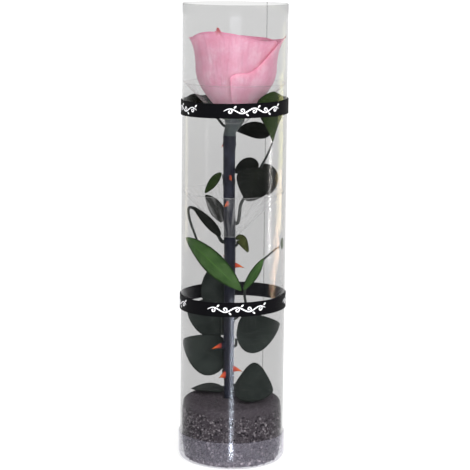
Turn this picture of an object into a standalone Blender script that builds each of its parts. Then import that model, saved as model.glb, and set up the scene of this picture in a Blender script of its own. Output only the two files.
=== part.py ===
"""A preserved rose standing in a clear gift tube, as separate solids.

Units are metres, +Z is up and the front faces -Y. The origin is at the middle
of the tube's underside. Tables of places are written in millimetres and
multiplied by MM where they are used.
"""

import bmesh
import bpy
import numpy as np
from mathutils import Vector

MM = 0.001

# Driving dimensions of the wrapper, in millimetres.
TUBE_RADIUS = 35.0
TUBE_LENGTH = 300.0
FILM = 0.4
TUBE_FOOT = 5.6
FIT_GAP = 0.3
CAP_WALL = 0.5
CAP_HEIGHT = 19.0
CAP_CORNER = 5.5
RIBBON_WIDTH = 9.5
RIBBON_THICKNESS = 0.25
RIBBON_HEIGHTS = {"upper_ribbon": 233.8, "lower_ribbon": 104.2}
RIBBON_TILT = 0.021
RIBBON_LAP_DEGREES = 24.0
SIDES = 44

# The planted base.
FOAM_RADIUS = 29.0
COAT_RADIUS = 33.2
COAT_TOP = 41.6
COAT_THICKNESS = 2.4

# The stem and the flower.
STEM_LINE = ((-2.0, 5.0, 3.1), (-2.0, 40.0, 3.2), (-2.2, 74.0, 3.35), (-2.3, 110.0, 3.6),
             (-2.45, 149.0, 3.85), (-3.0, 190.0, 3.9), (-3.15, 209.0, 4.0), (-3.15, 218.6, 4.3))
CALYX_LINE = ((-3.1, 219.0, 4.2), (-2.6, 222.0, 4.0), (-1.4, 225.0, 4.8),
              (-0.6, 227.8, 6.0), (0.0, 230.2, 6.9), (0.0, 231.2, 5.6))
FLOWER_BASE = 231.9
FLOWER_TOP = 283.6
PETAL_THICKNESS = 0.4
LEAF_THICKNESS = 0.5
SEPAL_COUNT = 5
GOLDEN_ANGLE = 137.5
LAYERS = 14
HEART_LAYER = 0.875

# The outer petals: bearing from the front towards +X, half width in degrees,
# tip height, how far the left and the right margin fall below the tip, and
# where the tip stands from the left margin (-1) to the right margin (1).
OUTER_PETALS = (
    (80.0, 87.0, 284.0, 21.0, 3.0, 0.0),
    (-26.0, 94.0, 289.0, 5.6, 6.5, 0.07),
    (178.0, 80.0, 283.4, 1.6, 2.0, 0.0),
    (18.0, 62.0, 282.0, 4.0, 3.0, 0.0),
    (-36.0, 62.0, 284.0, 4.5, 5.0, 0.0),
)
INNER_FALL = 3.5
# The claw is narrow up to one share of the height and as wide as the blade from another.
CLAW_SPREAD = 11.0
CLAW_END = 0.10
BLADE_START = 0.48


def material(name, colour, roughness, metallic=0.0, alpha=1.0):
    """Return a Principled material of one colour."""
    made = bpy.data.materials.new(name)
    made.use_nodes = True
    shader = made.node_tree.nodes["Principled BSDF"]
    shader.inputs["Base Color"].default_value = (*colour, 1.0)
    shader.inputs["Roughness"].default_value = roughness
    shader.inputs["Metallic"].default_value = metallic
    shader.inputs["Alpha"].default_value = alpha
    return made


def add_object(name, mesh, paint):
    """Link a mesh into the scene as one named part, shaded smooth."""
    piece = bpy.data.objects.new(name, mesh)
    piece.data.materials.append(paint)
    mesh.shade_smooth()
    mesh.set_sharp_from_angle(angle=np.radians(35.0))
    bpy.context.scene.collection.objects.link(piece)
    return piece


def turned(name, outline, paint, sides=SIDES, shift=None, stretch=None):
    """Spin a closed outline of (radius, height) about the Z axis.

    shift gives the sideways place of the axis at a height, and stretch moves
    each finished corner.
    """
    loop = len(outline)
    turns = np.arange(sides) * 2.0 * np.pi / sides
    rings = np.array(outline)
    radius, height = rings[:, 0][None, :], rings[:, 1][None, :]
    x = radius * np.sin(turns)[:, None]
    y = -radius * np.cos(turns)[:, None]
    z = np.repeat(height, sides, axis=0)
    if shift is not None:
        x = x + shift(z)
    points = np.stack([x, y, z], axis=-1)
    if stretch is not None:
        points = stretch(points)
    faces = []
    for i in range(sides):
        after = (i + 1) % sides
        for j in range(loop):
            below = (j + 1) % loop
            faces.append((i * loop + j, after * loop + j, after * loop + below, i * loop + below))
    mesh = bpy.data.meshes.new(name)
    mesh.from_pydata((points.reshape(-1, 3) * MM).tolist(), [], faces)
    close_outwards(mesh)
    return add_object(name, mesh, paint)


def close_outwards(mesh):
    """Merge corners that meet, drop flattened faces and face the rest outwards."""
    shape = bmesh.new()
    shape.from_mesh(mesh)
    bmesh.ops.remove_doubles(shape, verts=shape.verts, dist=0.00001)
    bmesh.ops.recalc_face_normals(shape, faces=shape.faces)
    shape.to_mesh(mesh)
    shape.free()


def through(points, count):
    """Return count points on a smooth curve through the given ones (Catmull-Rom)."""
    knots = np.array([2 * np.array(points[0]) - np.array(points[1]), *points,
                      2 * np.array(points[-1]) - np.array(points[-2])], dtype=float)
    places = np.linspace(0.0, len(points) - 1.0, count)
    start = np.minimum(places.astype(int), len(points) - 2)
    t = (places - start)[:, None]
    a, b, c, d = (knots[start + k] for k in range(4))
    return 0.5 * (2 * b + (c - a) * t + (2 * a - 5 * b + 4 * c - d) * t**2
                  + (3 * b - a - 3 * c + d) * t**3)


def sheet(name, points, thickness, paint):
    """Make a grid of points, in millimetres, into one shell of even thickness."""
    rows, columns = points.shape[:2]
    index = np.arange(rows * columns).reshape(rows, columns)
    faces = np.stack([index[:-1, :-1], index[:-1, 1:], index[1:, 1:], index[1:, :-1]], axis=-1)
    mesh = bpy.data.meshes.new(name)
    mesh.from_pydata((points.reshape(-1, 3) * MM).tolist(), [], faces.reshape(-1, 4).tolist())
    piece = add_object(name, mesh, paint)
    wall = piece.modifiers.new("wall", "SOLIDIFY")
    wall.thickness = thickness * MM
    wall.offset = 0.0
    return piece


def stalk(name, points, thick, thin, paint, count=12):
    """Sweep a tapering round stalk along a smooth route."""
    curve = bpy.data.curves.new(name, "CURVE")
    curve.dimensions = "3D"
    curve.bevel_depth = MM
    curve.bevel_resolution = 1
    curve.use_fill_caps = True
    spline = curve.splines.new("POLY")
    route = through(points, count)
    spline.points.add(count - 1)
    for point, place, radius in zip(spline.points, route, np.linspace(thick, thin, count)):
        point.co = (*(place * MM), 1.0)
        point.radius = radius
    piece = bpy.data.objects.new(name, curve)
    curve.materials.append(paint)
    bpy.context.scene.collection.objects.link(piece)
    return piece


def make_tube(paint):
    """The rolled clear tube, open at both ends."""
    inner = TUBE_RADIUS - FILM
    top = TUBE_FOOT + TUBE_LENGTH
    outline = [(TUBE_RADIUS, TUBE_FOOT), (TUBE_RADIUS, top), (inner, top), (inner, TUBE_FOOT)]
    turned("clear_tube", outline, paint)


def corner_arc(radius, steps=3):
    """Points of the cap's rounded lower corner, from the floor up to the wall."""
    middle = TUBE_RADIUS + FIT_GAP + CAP_WALL - CAP_CORNER
    angles = np.linspace(0.0, np.pi / 2.0, steps + 1)
    return [(middle + radius * np.sin(a), CAP_CORNER - radius * np.cos(a)) for a in angles]


def make_cap(paint):
    """The vacuum-formed cup that closes the foot of the tube."""
    outside = corner_arc(CAP_CORNER)
    inside = corner_arc(CAP_CORNER - CAP_WALL)
    rim = [(outside[-1][0], CAP_HEIGHT), (inside[-1][0], CAP_HEIGHT)]
    outline = [(0.0, 0.0), *outside, *rim, *reversed(inside), (0.0, CAP_WALL)]
    turned("bottom_cap", outline, paint)


def bored(radius, low, high, hole):
    """The outline of a disc with a hole for the stem."""
    return [(radius, low), (radius, high), (hole, high), (hole, low)]


def planted_base(points):
    """Slide each ring sideways so that its hole is on the stem and its rim on the tube."""
    reach = np.hypot(points[..., 0], points[..., 1])
    share = np.clip((COAT_RADIUS - reach) / (COAT_RADIUS - STEM_LINE[0][2]), 0.0, 1.0)
    points[..., 0] += STEM_LINE[1][0] * np.round(share)
    return points


def make_base(foam, granules):
    """The foam disc that holds the stem, and the shell of granules glued over it."""
    hole = STEM_LINE[1][2] + 2.0 * FIT_GAP
    floor = CAP_WALL + FIT_GAP
    foam_top = COAT_TOP - COAT_THICKNESS - FIT_GAP
    turned("foam_block", bored(FOAM_RADIUS, floor, foam_top, hole), foam, 40, stretch=planted_base)
    inner = FOAM_RADIUS + FIT_GAP
    under = COAT_TOP - COAT_THICKNESS
    outline = [(inner, floor), (COAT_RADIUS - 3.0, floor), (COAT_RADIUS, 12.0),
               (COAT_RADIUS, COAT_TOP - 3.0), (COAT_RADIUS - 2.2, COAT_TOP),
               (hole, COAT_TOP), (hole, under), (inner, under)]
    turned("granule_coat", outline, granules, 40, stretch=planted_base)


def make_cone(name, low, high, hole, lean, paint):
    """A film funnel: its rim touches the tube and its neck passes the stem."""
    rim = TUBE_RADIUS - FILM - FIT_GAP

    def shift(height):
        return lean * (high - height) / (high - low)

    outline = [(hole, low), (hole + FILM, low), (rim, high - FILM), (rim, high), (rim - FILM, high)]
    turned(name, outline, paint, 40, shift=shift)


def tilt(points):
    """Raise a ribbon towards +X."""
    points[..., 2] += points[..., 0] * RIBBON_TILT
    return points


def make_ribbon(name, low, paint):
    """A satin band round the tube, with its glued lap at the back."""
    inner = TUBE_RADIUS + 0.8 * RIBBON_THICKNESS
    outer = inner + RIBBON_THICKNESS
    high = low + RIBBON_WIDTH

    def lapped(points):
        turn = np.degrees(np.arctan2(points[..., 0], -points[..., 1]))
        reach = np.hypot(points[..., 0], points[..., 1])
        lap = (np.abs(turn) > 180.0 - RIBBON_LAP_DEGREES / 2.0) & (reach > outer - 0.01)
        points[..., :2] *= np.where(lap, 1.0 + RIBBON_THICKNESS / outer, 1.0)[..., None]
        return tilt(points)

    turned(name, [(outer, low), (outer, high), (inner, high), (inner, low)], paint, stretch=lapped)


def round_rod(name, line, sides, paint):
    """A near-upright round rod through (x, height, radius) rings."""
    rings = through(line, 2 * len(line) + 1)
    turns = np.arange(sides) * 2.0 * np.pi / sides
    shape = bmesh.new()
    loops = []
    for x, z, radius in rings:
        corners = [(x + radius * np.cos(a), radius * np.sin(a), z) for a in turns]
        loops.append([shape.verts.new(Vector(corner) * MM) for corner in corners])
    for low, high in zip(loops, loops[1:]):
        for k in range(sides):
            shape.faces.new((low[k], low[(k + 1) % sides], high[(k + 1) % sides], high[k]))
    shape.faces.new(loops[0][::-1])
    shape.faces.new(loops[-1])
    mesh = bpy.data.meshes.new(name)
    shape.to_mesh(mesh)
    shape.free()
    return add_object(name, mesh, paint)


# Thorns: height on the stem, bearing from the front towards +X, and length.
THORNS = ((191.3, 10.0, 5.5), (173.9, -20.0, 6.0), (132.0, 80.0, 6.5), (77.5, -62.0, 10.0),
          (57.0, -60.0, 4.5), (61.0, 78.0, 6.0), (205.0, 170.0, 5.0), (138.0, -150.0, 5.0),
          (90.0, 160.0, 5.5))
THORN_HALF_HEIGHT = 2.0
THORN_HALF_WIDTH = 0.9
THORN_DROOP = 1.2


def stem_at(height):
    """The stem's middle and radius at a height."""
    line = np.array(STEM_LINE)
    return np.interp(height, line[:, 1], line[:, 0]), np.interp(height, line[:, 1], line[:, 2])


def make_stem(paint):
    """The woody stem, with its thorns grown into it."""
    stem = round_rod("stem", STEM_LINE, 10, paint)
    shape = bmesh.new()
    for height, bearing, length in THORNS:
        middle, radius = stem_at(height)
        out = np.array([np.sin(np.radians(bearing)), -np.cos(np.radians(bearing)), 0.0])
        side = np.array([-out[1], out[0], 0.0])
        up = np.array([0.0, 0.0, 1.0])
        root = np.array([middle, 0.0, height]) + out * (radius - 1.2)
        ring = [root + up * THORN_HALF_HEIGHT * np.cos(a) + side * THORN_HALF_WIDTH * np.sin(a)
                for a in np.arange(6) * np.pi / 3.0]
        base = [shape.verts.new(Vector(corner) * MM) for corner in ring]
        tip = shape.verts.new(Vector(root + out * (length + 1.2) - up * THORN_DROOP) * MM)
        shape.faces.new(base)
        for a, b in zip(base, base[1:] + base[:1]):
            shape.faces.new((b, a, tip))
    bmesh.ops.recalc_face_normals(shape, faces=shape.faces)
    mesh = bpy.data.meshes.new("thorns")
    shape.to_mesh(mesh)
    shape.free()
    thorns = add_object("thorns", mesh, paint)
    thorns.hide_render = True
    thorns.display_type = "WIRE"
    join = stem.modifiers.new("thorns", "BOOLEAN")
    join.operation = "UNION"
    join.object = thorns


def layer_radius(layer, rise):
    """Radius of a petal layer, 0 outermost to 1 at the heart, at a rise of 0 to 1."""
    swell = np.sin(np.pi / 2.0 * np.clip(rise / 0.6, 0.0, 1.0))
    flare = np.clip((rise - 0.6) / 0.4, 0.0, None) ** 2
    return 6.0 - 4.0 * layer + 21.3 * (1.0 - layer) * swell + (4.3 - 9.9 * layer) * flare


def petal_points(layer, bearing, half_width, tip, left_fall, right_fall, peak, rows=13, columns=15):
    """A petal's grid: it widens from a narrow claw and its margins fall from the tip."""
    across = np.linspace(-1.0, 1.0, columns)[None, :]
    along = np.linspace(0.0, 1.0, rows)[:, None]
    edge = np.clip(np.abs(across - peak) / 0.75, 0.0, 1.0)
    margin = tip - np.where(across < peak, left_fall, right_fall) * edge**2 * (3.0 - 2.0 * edge)
    height = FLOWER_BASE + (margin - FLOWER_BASE) * along**1.15
    rise = (height - FLOWER_BASE) / (FLOWER_TOP - FLOWER_BASE)
    widening = np.clip((along - CLAW_END) / (BLADE_START - CLAW_END), 0.0, 1.0)
    spread = CLAW_SPREAD + (half_width - CLAW_SPREAD) * np.sin(np.pi / 2.0 * widening)
    turn = np.radians(bearing + spread * across)
    radius = layer_radius(layer, rise)
    return np.stack([radius * np.sin(turn), -radius * np.cos(turn), height], axis=-1)


def make_petals(paint):
    """Single petals from the outside in, each one layer inside the last."""
    for i in range(LAYERS):
        layer = 0.8 * i / (LAYERS - 1.0)
        if i < len(OUTER_PETALS):
            shape = OUTER_PETALS[i]
        else:
            bearing = OUTER_PETALS[-1][0] + GOLDEN_ANGLE * (i - len(OUTER_PETALS) + 1)
            shape = (bearing, 60.0 + 2.0 * i, 283.4 - 0.22 * i, INNER_FALL, INNER_FALL, 0.0)
        points = petal_points(layer, *shape)
        sheet(f"petal_{i + 1:02d}", points, PETAL_THICKNESS, paint)


def make_heart(paint):
    """The tight heart of petals rolled on themselves."""
    rises = np.linspace(0.03, 0.93, 8)
    outline = [(0.0, FLOWER_BASE + rises[0] * (FLOWER_TOP - FLOWER_BASE))]
    for rise in rises:
        outline.append((layer_radius(HEART_LAYER, rise), FLOWER_BASE + rise * (FLOWER_TOP - FLOWER_BASE)))
    outline.append((0.0, outline[-1][1] + 0.6))
    turned("flower_heart", outline, paint, 14)


def make_calyx(paint, sepal_paint):
    """The swollen calyx under the flower and its five sepals."""
    round_rod("calyx", CALYX_LINE, 12, paint)
    along = np.linspace(0.0, 1.0, 6)[:, None]
    across = np.linspace(-1.0, 1.0, 4)[None, :]
    for i in range(SEPAL_COUNT):
        half = 2.4 * (1.0 - along) ** 0.8 + 0.35
        reach = 8.3 + 11.0 * along + 0.0 * across
        height = 230.1 + 10.6 * along**1.12 + 0.0 * across
        turn = np.radians(30.0 + 72.0 * i) + half * across / reach
        points = np.stack([reach * np.sin(turn), -reach * np.cos(turn), height], axis=-1)
        sheet(f"sepal_{i + 1}", points, LEAF_THICKNESS, sepal_paint)


# Sprays of leaves. A stalk is its route and its radius at each end. A leaflet is
# its base, middle and tip, half width, the way its face looks, how far its sides
# curl towards that way, and where along it is widest.
SPRAYS = {
    "spray_a": (
        (((3.1, -0.8, 161.5), (4.6, -2.6, 172.5), (7.2, -3.4, 178.5), (12.0, -4.0, 188.0),
          (17.6, -6.0, 199.0), (21.0, -11.0, 206.0), (23.5, -15.2, 212.5), (24.6, -18.0, 216.2)), 1.0, 0.6),
        (((24.9, -19.2, 217.4), (25.5, -20.5, 236.0), (25.2, -20.0, 250.0),
          13.2, (0.77, -0.64, 0.0), -3.0, 0.66),
         ((15.0, -8.2, 199.0), (13.4, -9.5, 189.5), (8.6, -9.0, 176.8), 12.0, (0.0, -1.0, 0.1), 1.4, 0.45),
         ((19.0, -4.4, 200.6), (23.6, -1.5, 191.5), (22.5, 1.0, 179.5), 5.6, (0.3, -1.0, 0.0), 0.8, 0.5),
         ((16.0, -0.5, 198.0), (9.0, 1.0, 198.6), (0.6, 5.4, 193.4), 5.4, (0.0, -1.0, 0.3), 0.5, 0.45),
         ((23.0, -9.6, 220.6), (13.5, 0.5, 222.8), (1.6, 6.4, 221.4), 5.4, (-0.3, -1.0, 0.1), 0.4, 0.42)),
    ),
    "spray_b": (
        (((-7.2, 2.4, 225.2), (-9.4, 5.0, 227.4), (-12.6, 8.6, 230.6), (-16.0, 12.0, 233.8)), 0.8, 0.6),
        (((-17.0, 12.9, 234.4), (-25.5, 15.0, 237.6), (-32.8, 4.5, 241.6), 6.6, (-0.8, 0.6, 0.0),
          -0.9, 0.55),),
    ),
    "spray_c": (
        (((-5.4, 5.6, 160.5), (-4.8, 6.2, 175.0), (-7.4, 6.6, 191.8)), 0.8, 0.6),
        (((-8.4, 6.8, 192.8), (-13.0, 9.6, 187.0), (-19.2, 11.5, 178.8), 3.4, (-0.5, -0.8, 0.3), 0.5, 0.5),
         ((-8.2, 4.4, 160.0), (-11.4, 6.2, 168.8), (-18.8, 5.4, 178.2), 4.8, (-0.1, -1.0, 0.1), 0.8, 0.5)),
    ),
    "spray_d": (
        (((-7.8, -1.8, 148.6), (-10.4, -6.6, 153.6), (-15.6, -11.5, 161.0), (-22.0, -12.0, 168.0),
          (-27.6, -9.8, 172.2), (-29.8, -9.6, 170.2), (-28.2, -12.4, 162.5), (-25.2, -13.2, 154.5),
          (-23.0, -15.4, 148.6)), 1.0, 0.7),
        (((-31.0, -11.0, 152.0), (-12.8, -28.2, 138.0), (5.4, -29.0, 120.6),
          7.6, (-0.4, -0.92, 0.0), -0.9, 0.5),
         ((-8.6, -9.4, 153.4), (-15.4, -15.0, 162.2), (-26.5, -14.0, 173.2), 3.1, (0.0, -1.0, 0.2),
          0.6, 0.5)),
    ),
    "spray_e": (
        (((-6.6, 2.8, 85.0), (-7.0, 4.8, 91.0), (-7.2, 5.6, 98.4)), 0.8, 0.6),
        (((-6.6, 6.6, 100.0), (-11.8, 7.6, 112.6), (-14.4, 6.4, 129.0), 9.6, (-0.1, -1.0, 0.1), 1.0, 0.45),
         ((1.4, 9.8, 91.4), (-15.0, 13.4, 94.0), (-30.6, 10.0, 99.0), 13.8, (0.0, -1.0, 0.15), 1.2, 0.45)),
    ),
    "spray_f": (
        (((2.6, -1.5, 96.5), (5.5, -4.5, 100.5), (8.7, -7.0, 106.0), (7.9, -9.0, 115.0),
          (11.2, -10.6, 125.0), (18.6, -12.6, 136.5), (23.2, -14.0, 141.5), (27.8, -14.5, 145.6),
          (30.2, -13.6, 147.0)), 0.9, 0.55),
        (((19.8, -15.6, 139.4), (13.4, -14.4, 128.4), (7.2, -12.0, 117.6), 3.3, (0.4, -0.9, 0.1), 0.7, 0.5),
         ((31.3, -12.0, 148.0), (32.3, -8.4, 148.4), (32.9, -4.6, 145.0), 3.8, (1.0, -0.25, 0.0),
          -0.2, 0.5)),
    ),
    "spray_g": (
        (((2.4, -1.6, 146.0), (2.9, -2.6, 148.6)), 0.8, 0.7),
        (((3.5, -3.6, 149.8), (5.6, -6.4, 149.6), (9.9, -7.6, 142.2), 3.5, (0.4, -0.9, 0.1), 0.6, 0.45),),
    ),
    "spray_h": (
        (((-5.8, 3.4, 58.0), (-5.0, 5.4, 62.0)), 0.9, 0.8),
        (((-3.8, 7.4, 64.4), (-17.0, 9.0, 69.6), (-32.8, 5.2, 79.8), 14.2, (0.0, -1.0, 0.1), 1.4, 0.42),),
    ),
    "spray_i": (
        (((2.4, 1.2, 77.0), (2.5, 3.4, 80.6)), 0.9, 0.8),
        (((2.9, 4.8, 82.4), (15.4, 6.4, 85.0), (31.6, 4.8, 91.6), 13.4, (0.0, -1.0, 0.1), 1.2, 0.4),),
    ),
    "spray_j": (
        (((2.6, -1.6, 46.0), (2.6, -3.4, 49.0), (1.4, -4.6, 51.0)), 0.9, 0.8),
        (((2.6, -4.2, 52.4), (13.6, -8.5, 53.0), (27.6, -7.0, 47.6), 16.6, (0.0, -0.6, 0.8), 0.4, 0.46),
         ((-6.6, 4.6, 43.8), (-15.6, 8.8, 45.8), (-27.6, 11.4, 44.0), 11.0, (0.0, 0.0, 1.0), -0.5, 0.5)),
    ),
}


def leaf_points(base, middle, tip, half_width, face, curl, widest, rows=8, columns=5):
    """A leaflet's grid about a curve through base, middle and tip."""
    base, middle, tip = (np.array(p) for p in (base, middle, tip))
    t = np.linspace(0.0, 1.0, rows)[:, None]
    across = np.linspace(-1.0, 1.0, columns)[None, :, None]
    bend = 2.0 * middle - 0.5 * (base + tip)
    line = (1.0 - t) ** 2 * base + 2.0 * t * (1.0 - t) * bend + t**2 * tip
    run = 2.0 * (1.0 - t) * (bend - base) + 2.0 * t * (tip - bend)
    side = np.cross(run, np.array(face))
    side /= np.linalg.norm(side, axis=1, keepdims=True)
    normal = np.cross(side, run)
    normal /= np.linalg.norm(normal, axis=1, keepdims=True)
    power = np.log(0.5) / np.log(widest)
    half = 0.4 + (half_width - 0.4) * np.sin(np.pi * t**power) ** 0.7
    lift = curl * (half / half_width)[:, None, :] * across**2
    return line[:, None, :] + side[:, None, :] * across * half[:, None, :] + normal[:, None, :] * lift


def make_sprays(stalk_paint, leaf_paint):
    """Every leaf stalk with the leaflets it carries."""
    for name, (route, leaflets) in SPRAYS.items():
        points, thick, thin = route
        stalk(f"{name}_stalk", points, thick, thin, stalk_paint, count=max(4, 2 * len(points) - 1))
        for i, leaflet in enumerate(leaflets):
            sheet(f"{name}_leaflet_{i + 1}", leaf_points(*leaflet), LEAF_THICKNESS, leaf_paint)


def build():
    """Clear the scene and build every part."""
    for old in list(bpy.data.objects):
        bpy.data.objects.remove(old)
    film = material("clear_film", (0.93, 0.94, 0.95), 0.08, alpha=0.2)
    cap = material("clear_cap", (0.90, 0.90, 0.93), 0.12, alpha=0.35)
    foam = material("foam", (0.10, 0.12, 0.09), 0.95)
    granules = material("granules", (0.07, 0.065, 0.07), 0.8)
    ribbon = material("ribbon_satin", (0.01, 0.01, 0.012), 0.4)
    bark = material("stem_bark", (0.035, 0.04, 0.06), 0.55)
    green = material("calyx_green", (0.05, 0.09, 0.05), 0.6)
    leaf = material("leaf_green", (0.05, 0.14, 0.04), 0.5)
    petal = material("petal_pink", (0.72, 0.36, 0.47), 0.6)

    make_tube(film)
    make_cap(cap)
    make_base(foam, granules)
    make_cone("upper_cone", 227.4, 254.0, 7.4, 0.0, film)
    make_cone("middle_cone", 151.6, 182.0, 5.0, -2.4, film)
    for name, low in RIBBON_HEIGHTS.items():
        make_ribbon(name, low, ribbon)
    make_stem(bark)
    make_calyx(green, green)
    make_petals(petal)
    make_heart(petal)
    make_sprays(bark, leaf)


build()
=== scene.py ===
import bpy
import numpy as np
from mathutils import Matrix, Vector


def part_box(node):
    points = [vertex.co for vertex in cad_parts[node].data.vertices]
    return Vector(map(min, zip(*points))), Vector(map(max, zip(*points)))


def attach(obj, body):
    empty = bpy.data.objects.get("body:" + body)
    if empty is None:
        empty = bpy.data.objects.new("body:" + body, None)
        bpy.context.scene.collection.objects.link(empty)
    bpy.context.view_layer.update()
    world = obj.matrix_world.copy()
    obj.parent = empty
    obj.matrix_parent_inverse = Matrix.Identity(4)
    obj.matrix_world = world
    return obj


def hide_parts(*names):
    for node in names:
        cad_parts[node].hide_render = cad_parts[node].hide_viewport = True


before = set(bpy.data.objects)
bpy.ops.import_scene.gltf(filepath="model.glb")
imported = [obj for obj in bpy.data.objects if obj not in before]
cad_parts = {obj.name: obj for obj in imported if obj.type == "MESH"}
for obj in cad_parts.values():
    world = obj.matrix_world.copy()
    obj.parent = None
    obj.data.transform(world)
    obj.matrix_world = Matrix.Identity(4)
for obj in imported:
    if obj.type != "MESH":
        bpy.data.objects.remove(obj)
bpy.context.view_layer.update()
scene = bpy.context.scene


# ---------------------------------------------------------------- bottom cap
# A cup formed from thin clear sheet, pushed over the foot of the tube. It stands
# on a ring round its stepped floor, and its wall is a little milky from forming.
MM = 0.001
cap_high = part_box("bottom_cap")[1]
CAP_RADIUS = cap_high[0]
CAP_RIM = cap_high[2]
CAP_WALL = 0.5 * MM
CAP_CORNER = 5.5 * MM
CAP_STEP_RADIUS = 23.0 * MM
CAP_STEP = 0.9 * MM
CAP_MIDDLE = 0.2 * MM
FULL_TURN = 2.0 * np.pi
UPRIGHT = (1.0, 1.0, 0.12)  # scales that draw a pattern out along the height


def wrapped(count, closed):
    """Each place along a row of count points and the place after it."""
    here = np.arange(count if closed else count - 1)
    return here, (here + 1) % count


def outward(corners, faces):
    """Turns every face round if the body they close has a negative volume."""
    a, b, c = (corners[faces[:, k]] for k in range(3))
    d = corners[faces[:, -1]]
    volume = np.sum(a * np.cross(b, c)) + np.sum(a * np.cross(c, d))
    return faces if volume > 0.0 else faces[:, ::-1]


def mesh_of(name, corners, faces, uvs=None, marks=None):
    """A smooth-shaded piece from corners and faces of one size, with its UV map.

    uvs has a pair for every corner of every face, and marks gives values that
    materials read, one for each corner of the mesh.
    """
    mesh = bpy.data.meshes.new(name)
    size = faces.shape[1]
    mesh.vertices.add(len(corners))
    mesh.vertices.foreach_set("co", np.ascontiguousarray(corners, dtype=np.float32).ravel())
    mesh.loops.add(faces.size)
    mesh.loops.foreach_set("vertex_index", np.ascontiguousarray(faces, dtype=np.int32).ravel())
    mesh.polygons.add(len(faces))
    mesh.polygons.foreach_set("loop_start", np.arange(0, faces.size, size, dtype=np.int32))
    mesh.update(calc_edges=True)
    mesh.shade_smooth()
    if uvs is not None:
        layer = mesh.uv_layers.new(name="along")
        layer.data.foreach_set("uv", np.ascontiguousarray(uvs, dtype=np.float32).ravel())
    for mark, values in (marks or {}).items():
        made = mesh.attributes.new(mark, "FLOAT", "POINT")
        made.data.foreach_set("value", np.ascontiguousarray(values, dtype=np.float32).ravel())
    mesh.validate()
    piece = bpy.data.objects.new(name, mesh)
    scene.collection.objects.link(piece)
    return piece


def woven(rows, columns, rows_meet):
    """Quads of a grid whose columns join up round it, and whose rows may join up too."""
    i, i_next = (part[:, None] for part in wrapped(rows, rows_meet))
    j, j_next = (part[None, :] for part in wrapped(columns, True))
    return np.stack([i * columns + j, i_next * columns + j, i_next * columns + j_next,
                     i * columns + j_next], axis=-1).reshape(-1, 4)


def closed_skin(name, grid, marks=None):
    """A body from a grid of points that joins up with itself both ways, like a ring."""
    corners = grid.reshape(-1, 3)
    return mesh_of(name, corners, outward(corners, woven(*grid.shape[:2], True)), None, marks)


def bearings(sides):
    """The angles of a ring's corners, evenly from 0 round to just before a full turn."""
    return np.arange(sides) * FULL_TURN / sides


def round_axis(radius, angle, height):
    """Points round Z: x = r sin a and y = -r cos a, so that angle 0 faces the front."""
    return np.stack(np.broadcast_arrays(radius * np.sin(angle), -radius * np.cos(angle), height), axis=-1)


def turned(outline, sides):
    """A closed outline of (radius, height) carried once round Z."""
    return round_axis(outline[:, 0], bearings(sides)[:, None], outline[:, 1])


def arc(middle, radius, start, stop, steps):
    """Points on a circle round middle, from one angle to another, in degrees."""
    angle = np.radians(np.linspace(start, stop, steps))
    return middle + radius * np.stack([np.cos(angle), np.sin(angle)], axis=1)


def dress(piece, paint, slot, *nodes):
    """Gives a piece its material, hangs it under the root body, and hides the CAD nodes it stands for."""
    piece.data.materials.clear()
    piece.data.materials.append(paint)
    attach(piece, "root")
    if nodes:
        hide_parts(*nodes)
    return piece


def paint_named(name):
    """An empty node material: its tree, its Principled shader and its output."""
    paint = bpy.data.materials.new(name)
    paint.use_nodes = True
    tree = paint.node_tree
    return paint, tree, tree.nodes["Principled BSDF"], tree.nodes["Material Output"]


def fed(tree, node, inputs):
    """Sets a node's inputs: another node's socket is linked, anything else is a plain value."""
    for label, value in inputs.items():
        if isinstance(value, bpy.types.NodeSocket):
            tree.links.new(value, node.inputs[label])
        else:
            node.inputs[label].default_value = value
    return node


def placed(tree, kind, output, inputs, **settings):
    """Puts a node in a tree with its settings and inputs, and returns one of its outputs."""
    node = tree.nodes.new(kind)
    for setting, value in settings.items():
        setattr(node, setting, value)
    return fed(tree, node, inputs).outputs[output]


def object_place(tree):
    """The place on the piece in the object's own metres."""
    return placed(tree, "ShaderNodeTexCoord", "Object", {})


def along_place(tree):
    """The place on the piece's own UV map."""
    return placed(tree, "ShaderNodeUVMap", "UV", {}, uv_map="along")


def stretched(tree, place, scale):
    """A place whose three directions are scaled, so that a pattern on it is drawn out."""
    return placed(tree, "ShaderNodeMapping", "Vector", {"Vector": place, "Scale": scale})


def noise_at(tree, place, scale, detail=2.0):
    """Noise from 0 to 1 at a place; detail is how many finer layers it has."""
    return placed(tree, "ShaderNodeTexNoise", "Fac", {"Vector": place, "Scale": scale, "Detail": detail})


def spanned(tree, value, start, stop, low=0.0, high=1.0, **settings):
    """A value carried evenly from the span start to stop over to the span low to high."""
    return placed(tree, "ShaderNodeMapRange", "Result", {
        "Value": value, "From Min": start, "From Max": stop, "To Min": low, "To Max": high}, **settings)


def worked_out(tree, operation, *values, **settings):
    """The result of a sum on up to three values."""
    return placed(tree, "ShaderNodeMath", "Value", dict(enumerate(values)), operation=operation, **settings)


def bumped(tree, height, distance, strength=1.0, **more):
    """The surface normal tilted by a height map, whose full height is distance in metres."""
    return placed(tree, "ShaderNodeBump", "Normal", {
        "Height": height, "Distance": distance, "Strength": strength, **more})


def group_named(name, inputs, outputs):
    """An empty node group: number inputs as (label, value), number outputs by label."""
    group = bpy.data.node_groups.new(name, "ShaderNodeTree")
    for label, value in inputs:
        socket = group.interface.new_socket(label, in_out="INPUT", socket_type="NodeSocketFloat")
        socket.default_value = value
    for label in outputs:
        group.interface.new_socket(label, in_out="OUTPUT", socket_type="NodeSocketFloat")
    return group, group.nodes.new("NodeGroupInput"), group.nodes.new("NodeGroupOutput")


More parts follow.
